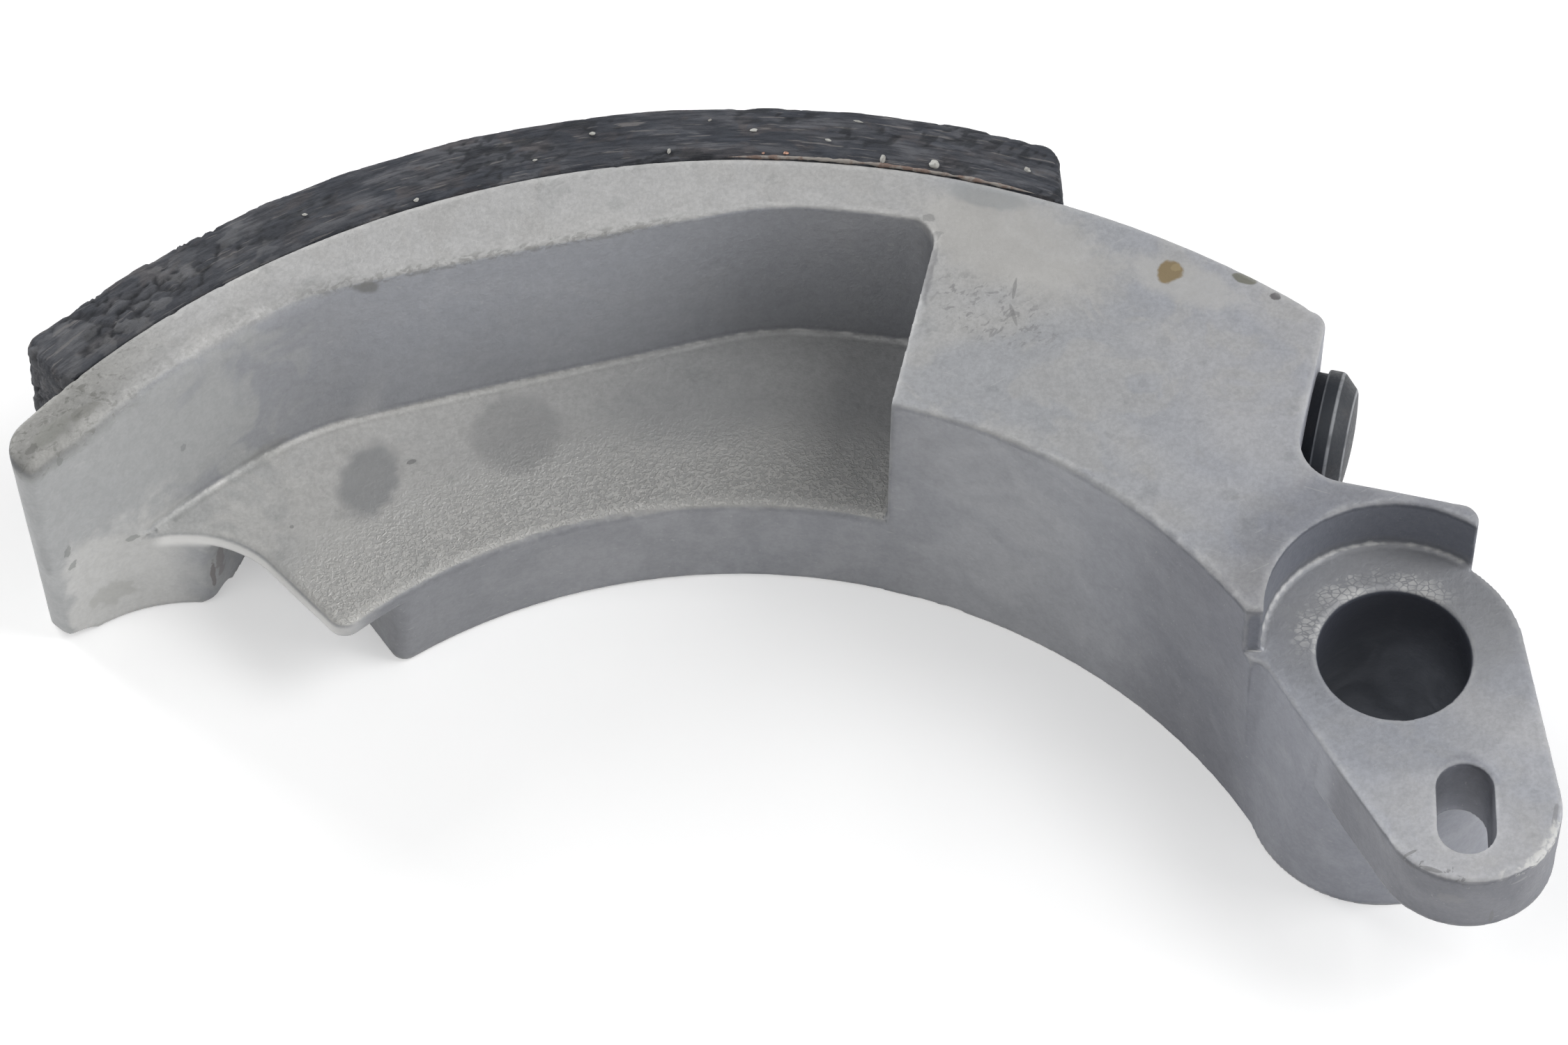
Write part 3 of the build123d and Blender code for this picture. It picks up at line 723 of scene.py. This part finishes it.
# %% Worn edges
def worn_edges(tree, at, colour):
    """Worn edges, painted shade and highlight in folds, and edges that look different from the rest."""
    low_or_away = worked_out(tree, "ADD", ramp(tree, at.along, -72, -64), ramp(tree, at.height, 12, 9))
    quiet = worked_out(tree, "MINIMUM", low_or_away, 1.0)
    quiet = product(tree, quiet, ramp(tree, at.in_slot, 0.6, 0.0))
    uneven_edge = worked_out(tree, "ADD", at.edge, ramp(tree, at.stains, 0.3, 0.7, -0.35, 0.35))
    colour = mixed(tree, product(tree, ramp(tree, uneven_edge, 0.45, 1.1, top=0.22), quiet), colour, WORN)
    # Painted shade in folds and inner corners.
    colour = tinted(tree, ramp(tree, at.edge, -0.1, -0.5), colour, (0.84, 0.84, 0.84))
    # Painted highlight: a bright thread at the very bottom of each fold.
    colour = mixed(tree, ramp(tree, at.edge, -0.66, -0.95, top=0.7), colour, WORN)

    window_edge = product(tree, at.wall, ramp(tree, at.from_axis, 56.3, 55.6))
    window_edge = product(tree, window_edge, ramp(tree, at.along, -66, -70), ramp(tree, at.height, 6.6, 7.4))
    colour = mixed(tree, window_edge, colour, (0.8, 0.795, 0.78))
    # Painted shade on the top edge at the pocket's end, toning down the lamps' highlight.
    from_pocket_end = distance_from(tree, at.place, (-30.35, 27.2, HEIGHT), 12, (1.2, 4.2, 1.5))
    pocket_end_shade = product(tree, ramp(tree, from_pocket_end, 1.1, 0.8), ramp(tree, at.edge, 0.15, 0.5))
    colour = tinted(tree, pocket_end_shade, colour, (0.72, 0.72, 0.73))
    rim_dirt = product(tree, ramp(tree, at.edge, 0.1, 0.5), ramp(tree, at.specks, 0.46, 0.56))
    rim_dirt = product(tree, rim_dirt, ramp(tree, at.along, -44, -50, top=0.55))
    rim_dirt = product(tree, rim_dirt, ramp(tree, at.height, 20.2, 20.8))
    rim_dirt = product(tree, rim_dirt, ramp(tree, at.from_hub, HUB_RADIUS + 20, HUB_RADIUS + 17))
    return mixed(tree, rim_dirt, colour, (0.27, 0.27, 0.26))


def knocked_tip(tree, at, colour):
    """The finger's tip, flaked bright along its upper edge and nicked beside it."""
    flakes = cloud(tree, at.place, 0.85, 4, 0.6, twist=0.6, start=(5, 5, 5))
    from_knock = distance_from(tree, at.place, (8.3, -14.9, FINGER_TOP), 50, (3.4, 1.2, 1.0))
    knocked = product(tree, ramp(tree, at.edge, 0.1, 0.5), ramp(tree, flakes, 0.45, 0.56))
    knocked = product(tree, knocked, ramp(tree, from_knock, 1.0, 0.8))
    colour = mixed(tree, knocked, colour, (0.65, 0.65, 0.64))
    from_nicks = distance_from(tree, at.place, (2.6, -16.7, FINGER_TOP), -20, (4.8, 0.7, 0.9))
    nicks = product(tree, ramp(tree, from_nicks, 1.0, 0.7), ramp(tree, flakes, 0.56, 0.6, top=0.6))
    return mixed(tree, nicks, colour, (0.2, 0.2, 0.205))


# %% [markdown]
# Now the layers are put together. Oxide dulls the metal, so it is only partly metallic, which also keeps
# its colour close to the one painted. Rubbed patches are a little smoother, worn edges a little rougher,
# and the bumps come from the same grain and freckles as the colour, so that light and paint agree.


# %% Casting material
def cast_skin():
    """Bare cast aluminium, mottled, stained and worn bright on its edges."""
    material, tree, shader, place = new_material("cast skin")
    at = casting_measures(tree, place)
    trimmed = product(tree, at.on_web, ramp(tree, at.from_hub, HUB_RADIUS + 9, HUB_RADIUS + 1.5))
    colour = mottled(tree, at)
    colour = web_and_walls(tree, at, colour)
    colour = toe_skin(tree, at, colour)
    colour = arm_and_finger(tree, at, colour)
    colour = small_texture(tree, at, colour, trimmed)
    colour = marked(tree, at, colour)
    colour = flaked_mouth(tree, at, colour)
    colour = worn_edges(tree, at, colour)
    colour = knocked_tip(tree, at, colour)
    colour = inside_bore(tree, at, colour)
    plug(tree, colour, shader.inputs["Base Color"])
    shader.inputs["Metallic"].default_value = 0.45

    rough_edge = ramp(tree, at.edge, 0.15, 0.6, top=0.18)
    roughness = worked_out(tree, "ADD", ramp(tree, at.patches, 0.35, 0.7, 0.62, 0.48), rough_edge)
    plug(tree, roughness, shader.inputs["Roughness"])
    bumps = worked_out(tree, "ADD", product(tree, at.grain, 0.5), at.freckles)
    bumps = worked_out(tree, "ADD", bumps, product(tree, trimmed, ramp(tree, at.grain, 0.44, 0.58)))
    plug(tree, raised(tree, bumps, 0.045), shader.inputs["Normal"])
    print("cast skin nodes:", len(tree.nodes))
    return material


casting.data.materials.append(cast_skin())
finish_piece(casting, "cast_aluminium", "shoe_casting")

# %% [markdown]
# ## The friction lining
# Friction material is fibre, filler and resin pressed in a mould, and its cut faces look like flaky slate:
# long shallow flakes that run along the arc, with gaps between them, and rounder crumbs near the toe. The
# pattern has to bend with the arc, so it is worked out in the lining's own directions: along the arc, out
# from the drum's axis, and up. Voronoi cells give the flakes, because their borders make natural cracks.


# %% Cracked cells
def cells(laid_out, size, seed):
    """Cracks between the cells of a broken surface, and a level from 0 to 1 for each cell."""
    crack = np.empty(len(laid_out))
    cell_level = np.empty(len(laid_out))
    for index, place in enumerate(laid_out / np.array(size) + seed):
        reach, middles = noise.voronoi(Vector(place))
        crack[index] = reach[1] - reach[0]
        cell_level[index] = 0.5 + 0.5 * noise.noise(middles[0] * 7.3)
    return 1 - smoothstep(crack, 0.02, 0.22), cell_level


# %% [markdown]
# The solid is remeshed with the rounding kind this time, and relaxed twice, so that the block looks pressed
# and crumbly instead of machined. Each point then gets its place along the arc, out from the axis and up.

# %% Lining
LINING_SQUARE = 0.28
LINING_PASSES = 2
lining = fine_copy("friction_lining", "lining_block", LINING_SQUARE, sharp=False)
plain = relaxed(lining, points_of(lining), LINING_PASSES)
from_drum = plain[:, :2] - (DRUM_X, DRUM_Y)
radius = np.hypot(*from_drum.T)
along = np.arctan2(from_drum[:, 1], from_drum[:, 0]) * LINING_RADIUS
laid_out = np.column_stack([along, radius, plain[:, 2]])
move_points(lining, plain)
print("lining arc in mm:", round(along.min(), 1), "to", round(along.max(), 1))

# %% [markdown]
# The points now move in and out: whole flakes stand a little higher or lower than their neighbours, and the
# cracks between them open in some places and stay shut in others. Near the toe the flakes are shorter and the
# cracks deeper. The underside and the face that is bonded to the rim keep still, because they touch the table
# and the casting.

# %% Flakes and cracks
outward = normals_of(lining)
toe_side = smoothstep(along, 1.95 * LINING_RADIUS, 2.2 * LINING_RADIUS)
long_cracks, long_levels = cells(laid_out, (3.0, 0.55, 0.7), 4.0)
toe_cracks, toe_levels = cells(laid_out, (1.35, 0.8, 0.9), 11.0)
cracks = long_cracks * (1 - toe_side) + toe_cracks * toe_side
levels = long_levels * (1 - toe_side) + toe_levels * toe_side
lumps = waves(laid_out, 1.9, 23.0, (1.6, 0.8, 1.0))
open_cracks = cracks * smoothstep(waves(laid_out, 2.6, 31.0, (1.8, 0.8, 1.0)), -0.25, 0.3)
wavy_rim = smoothstep(radius, LINING_RADIUS - 1.2, LINING_RADIUS) * waves(laid_out, 4.0, 12.0, (1, 4, 2))
depth = 0.09 + 0.15 * toe_side
rough = depth * (levels - 0.5) + 0.04 * lumps - depth * open_cracks + 0.13 * wavy_rim
free_side = smoothstep(radius, RIM_RADIUS + 0.1, RIM_RADIUS + 0.6) * smoothstep(plain[:, 2], 0.05, 0.6)
move_points(lining, plain + outward * (rough * free_side)[:, None])
keep_attribute(lining, "gap", open_cracks)
keep_attribute(lining, "flake", levels)
keep_attribute(lining, "toe_side", toe_side)
laid = lining.data.attributes.new("laid", "FLOAT_VECTOR", "POINT")
laid.data.foreach_set("vector", (laid_out * MM).astype(np.float32).ravel())
print("lining moved by mm:", round((rough * free_side).min(), 3), "to", round((rough * free_side).max(), 3))

# %% [markdown]
# The lining's colour follows the same directions. The mesh carries each point's place along the arc, out
# from the axis and up, and the material reads that instead of the plain coordinates, so that the streaks
# bend too.

# %% Lining material
LINING_DARK = (0.052, 0.058, 0.072)
LINING_GREY = (0.116, 0.119, 0.132)
LINING_WARM = (0.108, 0.092, 0.088)
LINING_FIBRE = (0.2, 0.19, 0.185)


def friction_skin():
    """Dark friction material with pale fibres and black gaps along the arc."""
    material, tree, shader, place = new_material("friction skin")
    laid_place = kept(tree, "laid", "Vector")
    broad = cloud(tree, laid_place, 2.4, 3, 0.55, twist=0.7, stretch=(2.6, 0.8, 1))
    streaks = cloud(tree, laid_place, 0.3, 4, 0.62, twist=0.3, stretch=(7, 0.8, 0.8))
    fibres = cloud(tree, laid_place, 0.22, 2, 0.4, stretch=(11, 0.8, 0.8), start=(3, 1, 0))
    warm = cloud(tree, laid_place, 1.7, 3, 0.5, twist=0.8, stretch=(2, 1, 1), start=(9, 2, 0))
    grit = cloud(tree, place, 0.22, 4, 0.65)

    colour = mixed(tree, ramp(tree, broad, 0.4, 0.6), LINING_DARK, LINING_GREY)
    colour = mixed(tree, ramp(tree, warm, 0.54, 0.64, top=0.5), colour, LINING_WARM)
    colour = mixed(tree, ramp(tree, kept(tree, "flake"), 0.35, 0.7, 0.45, 1.0), (0.04, 0.043, 0.052), colour)
    colour = mixed(tree, ramp(tree, streaks, 0.36, 0.58, 0.35, 1.0), (0.028, 0.03, 0.037), colour)
    colour = mixed(tree, ramp(tree, fibres, 0.64, 0.7, top=0.6), colour, LINING_FIBRE)
    colour = mixed(tree, ramp(tree, kept(tree, "gap"), 0.15, 0.8, top=0.7), colour, (0.018, 0.02, 0.024))
    lit_flakes = ramp(tree, kept(tree, "flake"), 0.45, 0.7, 0.1, 0.5)
    from_axis = distance_from(tree, place, (DRUM_X, DRUM_Y, 0), 0, (1, 1, TALL))
    inside_rim = ramp(tree, from_axis, LINING_RADIUS - 0.5, LINING_RADIUS - 1, 0.2)
    lit_toe = product(tree, kept(tree, "toe_side"), lit_flakes, inside_rim)
    colour = mixed(tree, lit_toe, colour, (0.17, 0.17, 0.175))
    plug(tree, colour, shader.inputs["Base Color"])
    plug(tree, ramp(tree, streaks, 0.3, 0.7, 0.92, 0.68), shader.inputs["Roughness"])
    shader.inputs["Specular IOR Level"].default_value = 0.35
    plug(tree, raised(tree, worked_out(tree, "ADD", grit, streaks), 0.09), shader.inputs["Normal"])
    return material


lining.data.materials.append(friction_skin())
finish_piece(lining, "friction_material", "friction_lining")

# %% [markdown]
# ## The rest button
# The rubber button in the step face is turned work: a profile spun about its axis. It keeps the solid's
# sizes, and only its corners change, from sharp to just rounded, as rubber leaves its mould.

# %% Button
STEP_BEARING = -12.0
BUTTON_CENTRE = Vector((-5.018, 18.671, 15.4))
BUTTON_STEM = [(0, -5.0), (1.9, -5.0), (1.9, 0), (4.05, 0), (4.05, 0.7)]
BUTTON_HEAD = [(4.35, 0.7), (4.35, 1.75), (3.3, 2.8)]
BUTTON_CROWN = [(3.3 * share, 2.8 + 0.25 * (1 - share**2)) for share in (0.8, 0.6, 0.4, 0.2, 0)]
BUTTON_PROFILE = BUTTON_STEM + BUTTON_HEAD + BUTTON_CROWN
BUTTON_ROUND = 0.16


def turned(name, profile, rounding, turns=96):
    """A solid of revolution about Z from a profile of radius and height pairs in millimetres."""
    shape = bmesh.new()
    corners = [shape.verts.new((across, 0, up)) for across, up in profile]
    lines = [shape.edges.new(pair) for pair in zip(corners, corners[1:])]
    bmesh.ops.bevel(
        shape, geom=corners[5:8], affect="VERTICES", offset=rounding, segments=4, profile=0.5, material=-1
    )
    outline = shape.verts[:] + shape.edges[:]
    bmesh.ops.spin(
        shape, geom=outline, cent=(0, 0, 0), axis=(0, 0, 1), angle=math.tau, steps=turns, use_merge=True
    )
    bmesh.ops.remove_doubles(shape, verts=shape.verts, dist=0.001)
    bmesh.ops.recalc_face_normals(shape, faces=shape.faces)
    print(name, "profile lines:", len(lines), "faces:", len(shape.faces))
    return shape


def to_piece(shape, name, matrix=Matrix.Identity(4)):
    """Makes an object of a bmesh drawn in millimetres, with its place in its mesh."""
    bmesh.ops.transform(shape, matrix=Matrix.Scale(MM, 4) @ matrix, verts=shape.verts)
    mesh = bpy.data.meshes.new(name)
    shape.to_mesh(mesh)
    shape.free()
    piece = bpy.data.objects.new(name, mesh)
    bpy.context.scene.collection.objects.link(piece)
    return piece


facing_out = Matrix.Rotation(math.radians(STEP_BEARING), 4, "Z")
lying_down = Matrix.Rotation(math.radians(90), 4, "Y")
button_place = Matrix.Translation(BUTTON_CENTRE) @ facing_out @ lying_down
button = to_piece(turned("button", BUTTON_PROFILE, BUTTON_ROUND), "rubber_button", button_place)

# %% [markdown]
# Moulded rubber is nearly black, with a dull shine. The button's three outer corners get pale lines, painted
# highlights where the rounded corners catch the light. Each corner was rounded with four strips, so the
# points inside them mark exactly where the lines run.

# %% Button material
RUBBER = (0.028, 0.032, 0.039)
RUBBER_CORNER_HIGHLIGHT = (0.27, 0.28, 0.295)
RUBBER_DUST = (0.047, 0.045, 0.048)


def keep_corner_lines(piece, place, profile, reach):
    """Marks the points that lie nearer to a named corner of the profile than the reach."""
    from_centre = (np.array(place.inverted().to_3x3()) @ (points_of(piece) - place.translation[:]).T).T
    drawn = np.column_stack([np.hypot(from_centre[:, 0], from_centre[:, 1]), from_centre[:, 2]])
    nearest = np.min([np.hypot(*(drawn - corner).T) for corner in profile], axis=0)
    keep_attribute(piece, "line", 1 - smoothstep(nearest, reach * 0.6, reach))


def rubber_skin():
    """Black moulded rubber with pale painted highlights along its corners, and a little dust."""
    material, tree, shader, place = new_material("rubber skin")
    dust = cloud(tree, place, 1.6, 5, 0.6, twist=0.5)
    grain = cloud(tree, place, 0.25, 4, 0.6)
    colour = mixed(tree, ramp(tree, dust, 0.5, 0.68, top=0.5), RUBBER, RUBBER_DUST)
    # Painted highlights along the three outer corners.
    lines = product(tree, kept(tree, "line"), ramp(tree, dust, 0.35, 0.5, 0.5, 1.0))
    colour = mixed(tree, lines, colour, RUBBER_CORNER_HIGHLIGHT)
    plug(tree, colour, shader.inputs["Base Color"])
    plug(tree, ramp(tree, grain, 0.3, 0.7, 0.46, 0.62), shader.inputs["Roughness"])
    shader.inputs["Specular IOR Level"].default_value = 0.4
    plug(tree, raised(tree, grain, 0.02), shader.inputs["Normal"])
    return material


keep_corner_lines(button, button_place, BUTTON_HEAD, 0.13)
button.data.materials.append(rubber_skin())
finish_piece(button, "buffer_rubber", "rest_buffer")

# %% [markdown]
# ## Adhesive and loose flecks
# The lining is bonded on, and a little adhesive was squeezed out along the seam. A tube spun about the
# drum's axis follows the seam exactly; noise then makes it thick in one place and thin in the next, and both
# ends taper away.

# %% Adhesive bead
BEAD_START = 73.0
BEAD_END = 92.5
BEAD_STEPS = 150
BEAD_RADIUS = 0.2
BEAD_OUT = RIM_RADIUS + 0.12
BEAD_HEIGHT = HEIGHT - 0.05
BEAD_TAPER = 2.0


def adhesive_bead():
    """A thin uneven bead along the seam, in millimetres."""
    shape = bmesh.new()
    ring = bmesh.ops.create_circle(shape, segments=10, radius=BEAD_RADIUS)["verts"]
    start = around_drum(BEAD_OUT, BEAD_START, BEAD_HEIGHT)
    upright = Matrix.Rotation(math.radians(BEAD_START), 4, "Z") @ Matrix.Rotation(math.radians(90), 4, "X")
    bmesh.ops.transform(shape, matrix=Matrix.Translation(start) @ upright, verts=ring)
    bmesh.ops.spin(
        shape, geom=ring + shape.edges[:], cent=(DRUM_X, DRUM_Y, 0), axis=(0, 0, 1),
        angle=math.radians(BEAD_END - BEAD_START), steps=BEAD_STEPS,
    )
    bmesh.ops.holes_fill(shape, edges=shape.edges)
    for vert in shape.verts:
        out = Vector((vert.co.x - DRUM_X, vert.co.y - DRUM_Y, 0))
        turn = math.degrees(math.atan2(out.y, out.x))
        middle = around_drum(BEAD_OUT, turn, BEAD_HEIGHT)
        thick = 0.62 + 0.5 * noise.noise(Vector((turn * 0.9, 3.0, 1.0))) + 0.25 * noise.noise(vert.co * 3.1)
        ends = min(turn - BEAD_START, BEAD_END - turn, BEAD_TAPER) / BEAD_TAPER
        vert.co = middle + (vert.co - middle) * (thick * max(ends, 0.02))
    bmesh.ops.recalc_face_normals(shape, faces=shape.faces)
    return shape


bead = to_piece(adhesive_bead(), "adhesive_bead")
print("bead faces:", len(bead.data.polygons))

# %% [markdown]
# A few pale crumbs stick to the lining's upper face, and two more glint like copper. They could be painted
# on, but a real crumb catches light and throws a shadow. Each is a small ball, pushed out of shape by noise
# and flattened, and placed by its bearing about the drum's axis.

# %% Flecks
# Each fleck: radius and bearing about the drum's axis, half width, half length and height, turn
PALE_FLECKS = [
    (64.5, 100.45, 0.2, 0.14, 0.08, 10),
    (62.4, 96.0, 0.2, 0.12, 0.08, 80),
    (64.0, 90.8, 0.26, 0.13, 0.08, 5),
    (63.4, 86.3, 0.2, 0.1, 0.07, -10),
    (62.2, 82.8, 0.18, 0.36, 0.2, 0),
    (62.35, 79.6, 0.34, 0.3, 0.3, 0),
    (63.5, 74.05, 0.26, 0.17, 0.14, -25),
    (62.0, 112.0, 0.2, 0.13, 0.08, 20),
    (65.2, 84.6, 0.3, 0.08, 0.05, -8),
    (63.0, 104.2, 0.16, 0.08, 0.05, 12),
    (64.9, 93.4, 0.14, 0.08, 0.05, 30),
    (63.9, 118.6, 0.18, 0.1, 0.06, -20),
]
COPPER_FLECKS = [(62.1, 88.8, 0.18, 0.12, 0.08, 15), (62.05, 90.2, 0.1, 0.08, 0.05, 40)]


def flecks(name, places):
    """Small uneven crumbs that sit on the lining's top face."""
    shape = bmesh.new()
    for radius, bearing, wide, long, tall, turn in places:
        ball = bmesh.ops.create_icosphere(shape, subdivisions=3, radius=1)["verts"]
        for vert in ball:
            vert.co *= 1 + 0.35 * noise.noise(vert.co * 1.3 + Vector((radius, bearing, 0)))
        spread = Matrix.Diagonal((wide, long, tall, 1))
        flat_turn = Matrix.Rotation(math.radians(bearing - 90 + turn), 4, "Z")
        stand = Matrix.Translation(around_drum(radius, bearing, HEIGHT + 0.3 * tall))
        bmesh.ops.transform(shape, matrix=stand @ flat_turn @ spread, verts=ball)
    print(name, "flecks:", len(places), "faces:", len(shape.faces))
    return to_piece(shape, name)


pale_flecks = flecks("pale_flecks", PALE_FLECKS)
copper_flecks = flecks("copper_flecks", COPPER_FLECKS)

# %% [markdown]
# Pieces this small need only a plain material each: two colours in patches and a grainy surface. The dried
# adhesive is a dull brown, the crumbs are chalky, and the copper ones are partly metallic.


# %% Bead and fleck materials
def crumb_skin(name, plain, spotted, roughness, metallic=0.0):
    """A small crumb's material: two colours in patches, and a grainy surface."""
    material, tree, shader, place = new_material(name)
    spots = cloud(tree, place, 1.1, 5, 0.6, twist=0.8)
    grain = cloud(tree, place, 0.15, 4, 0.6)
    plug(tree, mixed(tree, ramp(tree, spots, 0.46, 0.6), plain, spotted), shader.inputs["Base Color"])
    shader.inputs["Metallic"].default_value = metallic
    plug(tree, ramp(tree, grain, 0.3, 0.7, roughness - 0.1, roughness + 0.1), shader.inputs["Roughness"])
    plug(tree, raised(tree, grain, 0.03), shader.inputs["Normal"])
    return material


bead.data.materials.append(crumb_skin("dried adhesive", (0.3, 0.275, 0.25), (0.2, 0.14, 0.115), 0.65))
pale_flecks.data.materials.append(crumb_skin("pale crumb", (0.5, 0.5, 0.47), (0.3, 0.29, 0.27), 0.6))
copper_skin = crumb_skin("copper crumb", (0.52, 0.3, 0.22), (0.4, 0.33, 0.27), 0.4, 0.7)
copper_flecks.data.materials.append(copper_skin)
for crumbs in (bead, pale_flecks, copper_flecks):
    finish_piece(crumbs, "friction_material")

# %% [markdown]
# ## Camera
# The picture was taken from about half a metre away, looking down at the shoe with a long lens. The numbers
# below were worked out by fitting the solid's corners to the photograph, so they are real sizes.

# %% Camera
CAMERA_PLACE = Vector((-39.526, -266.2, 403.74)) * MM
CAMERA_PITCH = 54.53
CAMERA_ROLL = 1.11
camera = bpy.data.objects.new("camera", bpy.data.cameras.new("camera"))
bpy.context.scene.collection.objects.link(camera)
camera.data.sensor_width = 36.0
camera.data.lens = 167.12
camera.data.clip_start = 0.01
looking = Matrix.Rotation(math.radians(90 - CAMERA_PITCH), 4, "X")
looking = looking @ Matrix.Rotation(math.radians(CAMERA_ROLL), 4, "Z")
camera.matrix_world = Matrix.Translation(CAMERA_PLACE) @ looking
bpy.context.scene.camera = camera
print("camera to axis in mm:", round((CAMERA_PLACE / MM - Vector((DRUM_X, DRUM_Y, 0))).length))

# %% [markdown]
# ## Floor and light
# The shoe lies on a plain white table. In the photograph the table is nearly pure white, whiter than soft
# light alone leaves it. It is therefore given a glow that only the camera and mirror-like rays see, so that
# the glow whitens the table without lighting the shoe from below.


# %% Floor
def plain_plane(name, size):
    """A flat square about the origin."""
    shape = bmesh.new()
    bmesh.ops.create_grid(shape, x_segments=1, y_segments=1, size=size / 2)
    mesh = bpy.data.meshes.new(name)
    shape.to_mesh(mesh)
    shape.free()
    plane = bpy.data.objects.new(name, mesh)
    bpy.context.scene.collection.objects.link(plane)
    return plane


TABLE_WIDE = 4.0
TABLE_DROP = 0.02 * MM
TABLE_GLOW = 0.36
floor = plain_plane("floor", TABLE_WIDE)
floor.location.z = -TABLE_DROP
floor_paint, floor_tree, floor_shader, floor_place = new_material("white table")
mottle = ramp(floor_tree, cloud(floor_tree, floor_place, 30, 3), 0.3, 0.7)
table_white = mixed(floor_tree, mottle, (0.8, 0.8, 0.8), (0.83, 0.83, 0.83))
plug(floor_tree, table_white, floor_shader.inputs["Base Color"])
floor_shader.inputs["Roughness"].default_value = 0.85
floor_shader.inputs["Specular IOR Level"].default_value = 0.2
floor_shader.inputs["Emission Color"].default_value = (1, 1, 1, 1)
ray = floor_tree.nodes.new("ShaderNodeLightPath")
seen = worked_out(floor_tree, "ADD", ray.outputs["Is Camera Ray"], ray.outputs["Is Glossy Ray"])
seen = worked_out(floor_tree, "ADD", seen, ray.outputs["Is Transmission Ray"])
plug(floor_tree, product(floor_tree, seen, TABLE_GLOW), floor_shader.inputs["Emission Strength"])
floor.data.materials.append(floor_paint)
floor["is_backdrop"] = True
print("floor width in m:", TABLE_WIDE)

# %% [markdown]
# Five large soft lamps stand about the shoe. One lamp would be simpler, but the photograph's shadows are
# faint on all sides, and its walls are lit from the left as well as from the right. The light is balanced so
# that a surface looks about as pale as the colour that it is given.

# %% Lamps
LAMPS = {
    "right high": {"place": (0.516, 0.0, 0.737), "size": 0.45, "power": 2.8},
    "right low": {"place": (0.834, 0.0, 0.337), "size": 0.45, "power": 2.8},
    "right front": {"place": (0.59, -0.59, 0.337), "size": 0.45, "power": 0.8},
    "left front": {"place": (-0.365, -0.365, 0.737), "size": 0.45, "power": 1.45},
    "left back": {"place": (-0.59, 0.59, 0.337), "size": 0.45, "power": 6.2},
}
SHOE_MIDDLE = Vector((-0.04, 0.01, 0.01))


def soft_lamp(name, place, size, power):
    """A square lamp that faces the shoe."""
    lamp = bpy.data.objects.new(name, bpy.data.lights.new(name, "AREA"))
    bpy.context.scene.collection.objects.link(lamp)
    lamp.data.size = size
    lamp.data.energy = power
    lamp.location = SHOE_MIDDLE + Vector(place)
    lamp.rotation_euler = Vector(place).to_track_quat("Z", "Y").to_euler()
    return lamp


for lamp_name, settings in LAMPS.items():
    soft_lamp(lamp_name, **settings)
print("lamps:", len(LAMPS))

# %% [markdown]
# A white world at a low level lifts the shadows, as a room's white walls would. The view transform is set to
# Standard, which shows each colour as it was mixed; the default would make the whites grey.

# %% Surroundings
WORLD_LEVEL = 0.2
world = bpy.data.worlds.new("studio")
bpy.context.scene.world = world
world.use_nodes = True
world.node_tree.nodes["Background"].inputs["Color"].default_value = (1, 1, 1, 1)
world.node_tree.nodes["Background"].inputs["Strength"].default_value = WORLD_LEVEL
bpy.context.scene.view_settings.view_transform = "Standard"

# %% [markdown]
# ## Last measure
# Dressing should leave the shoe no larger than its solids, give or take a trace. The box from before is
# subtracted from the box from now, and how far each side moved is printed.

# %% Size of the dressed shoe
new_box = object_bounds()
grown = [[round((new - old) / MM, 3) for new, old in zip(*pair)] for pair in zip(new_box, cad_box)]
print("box moved by mm:", grown)
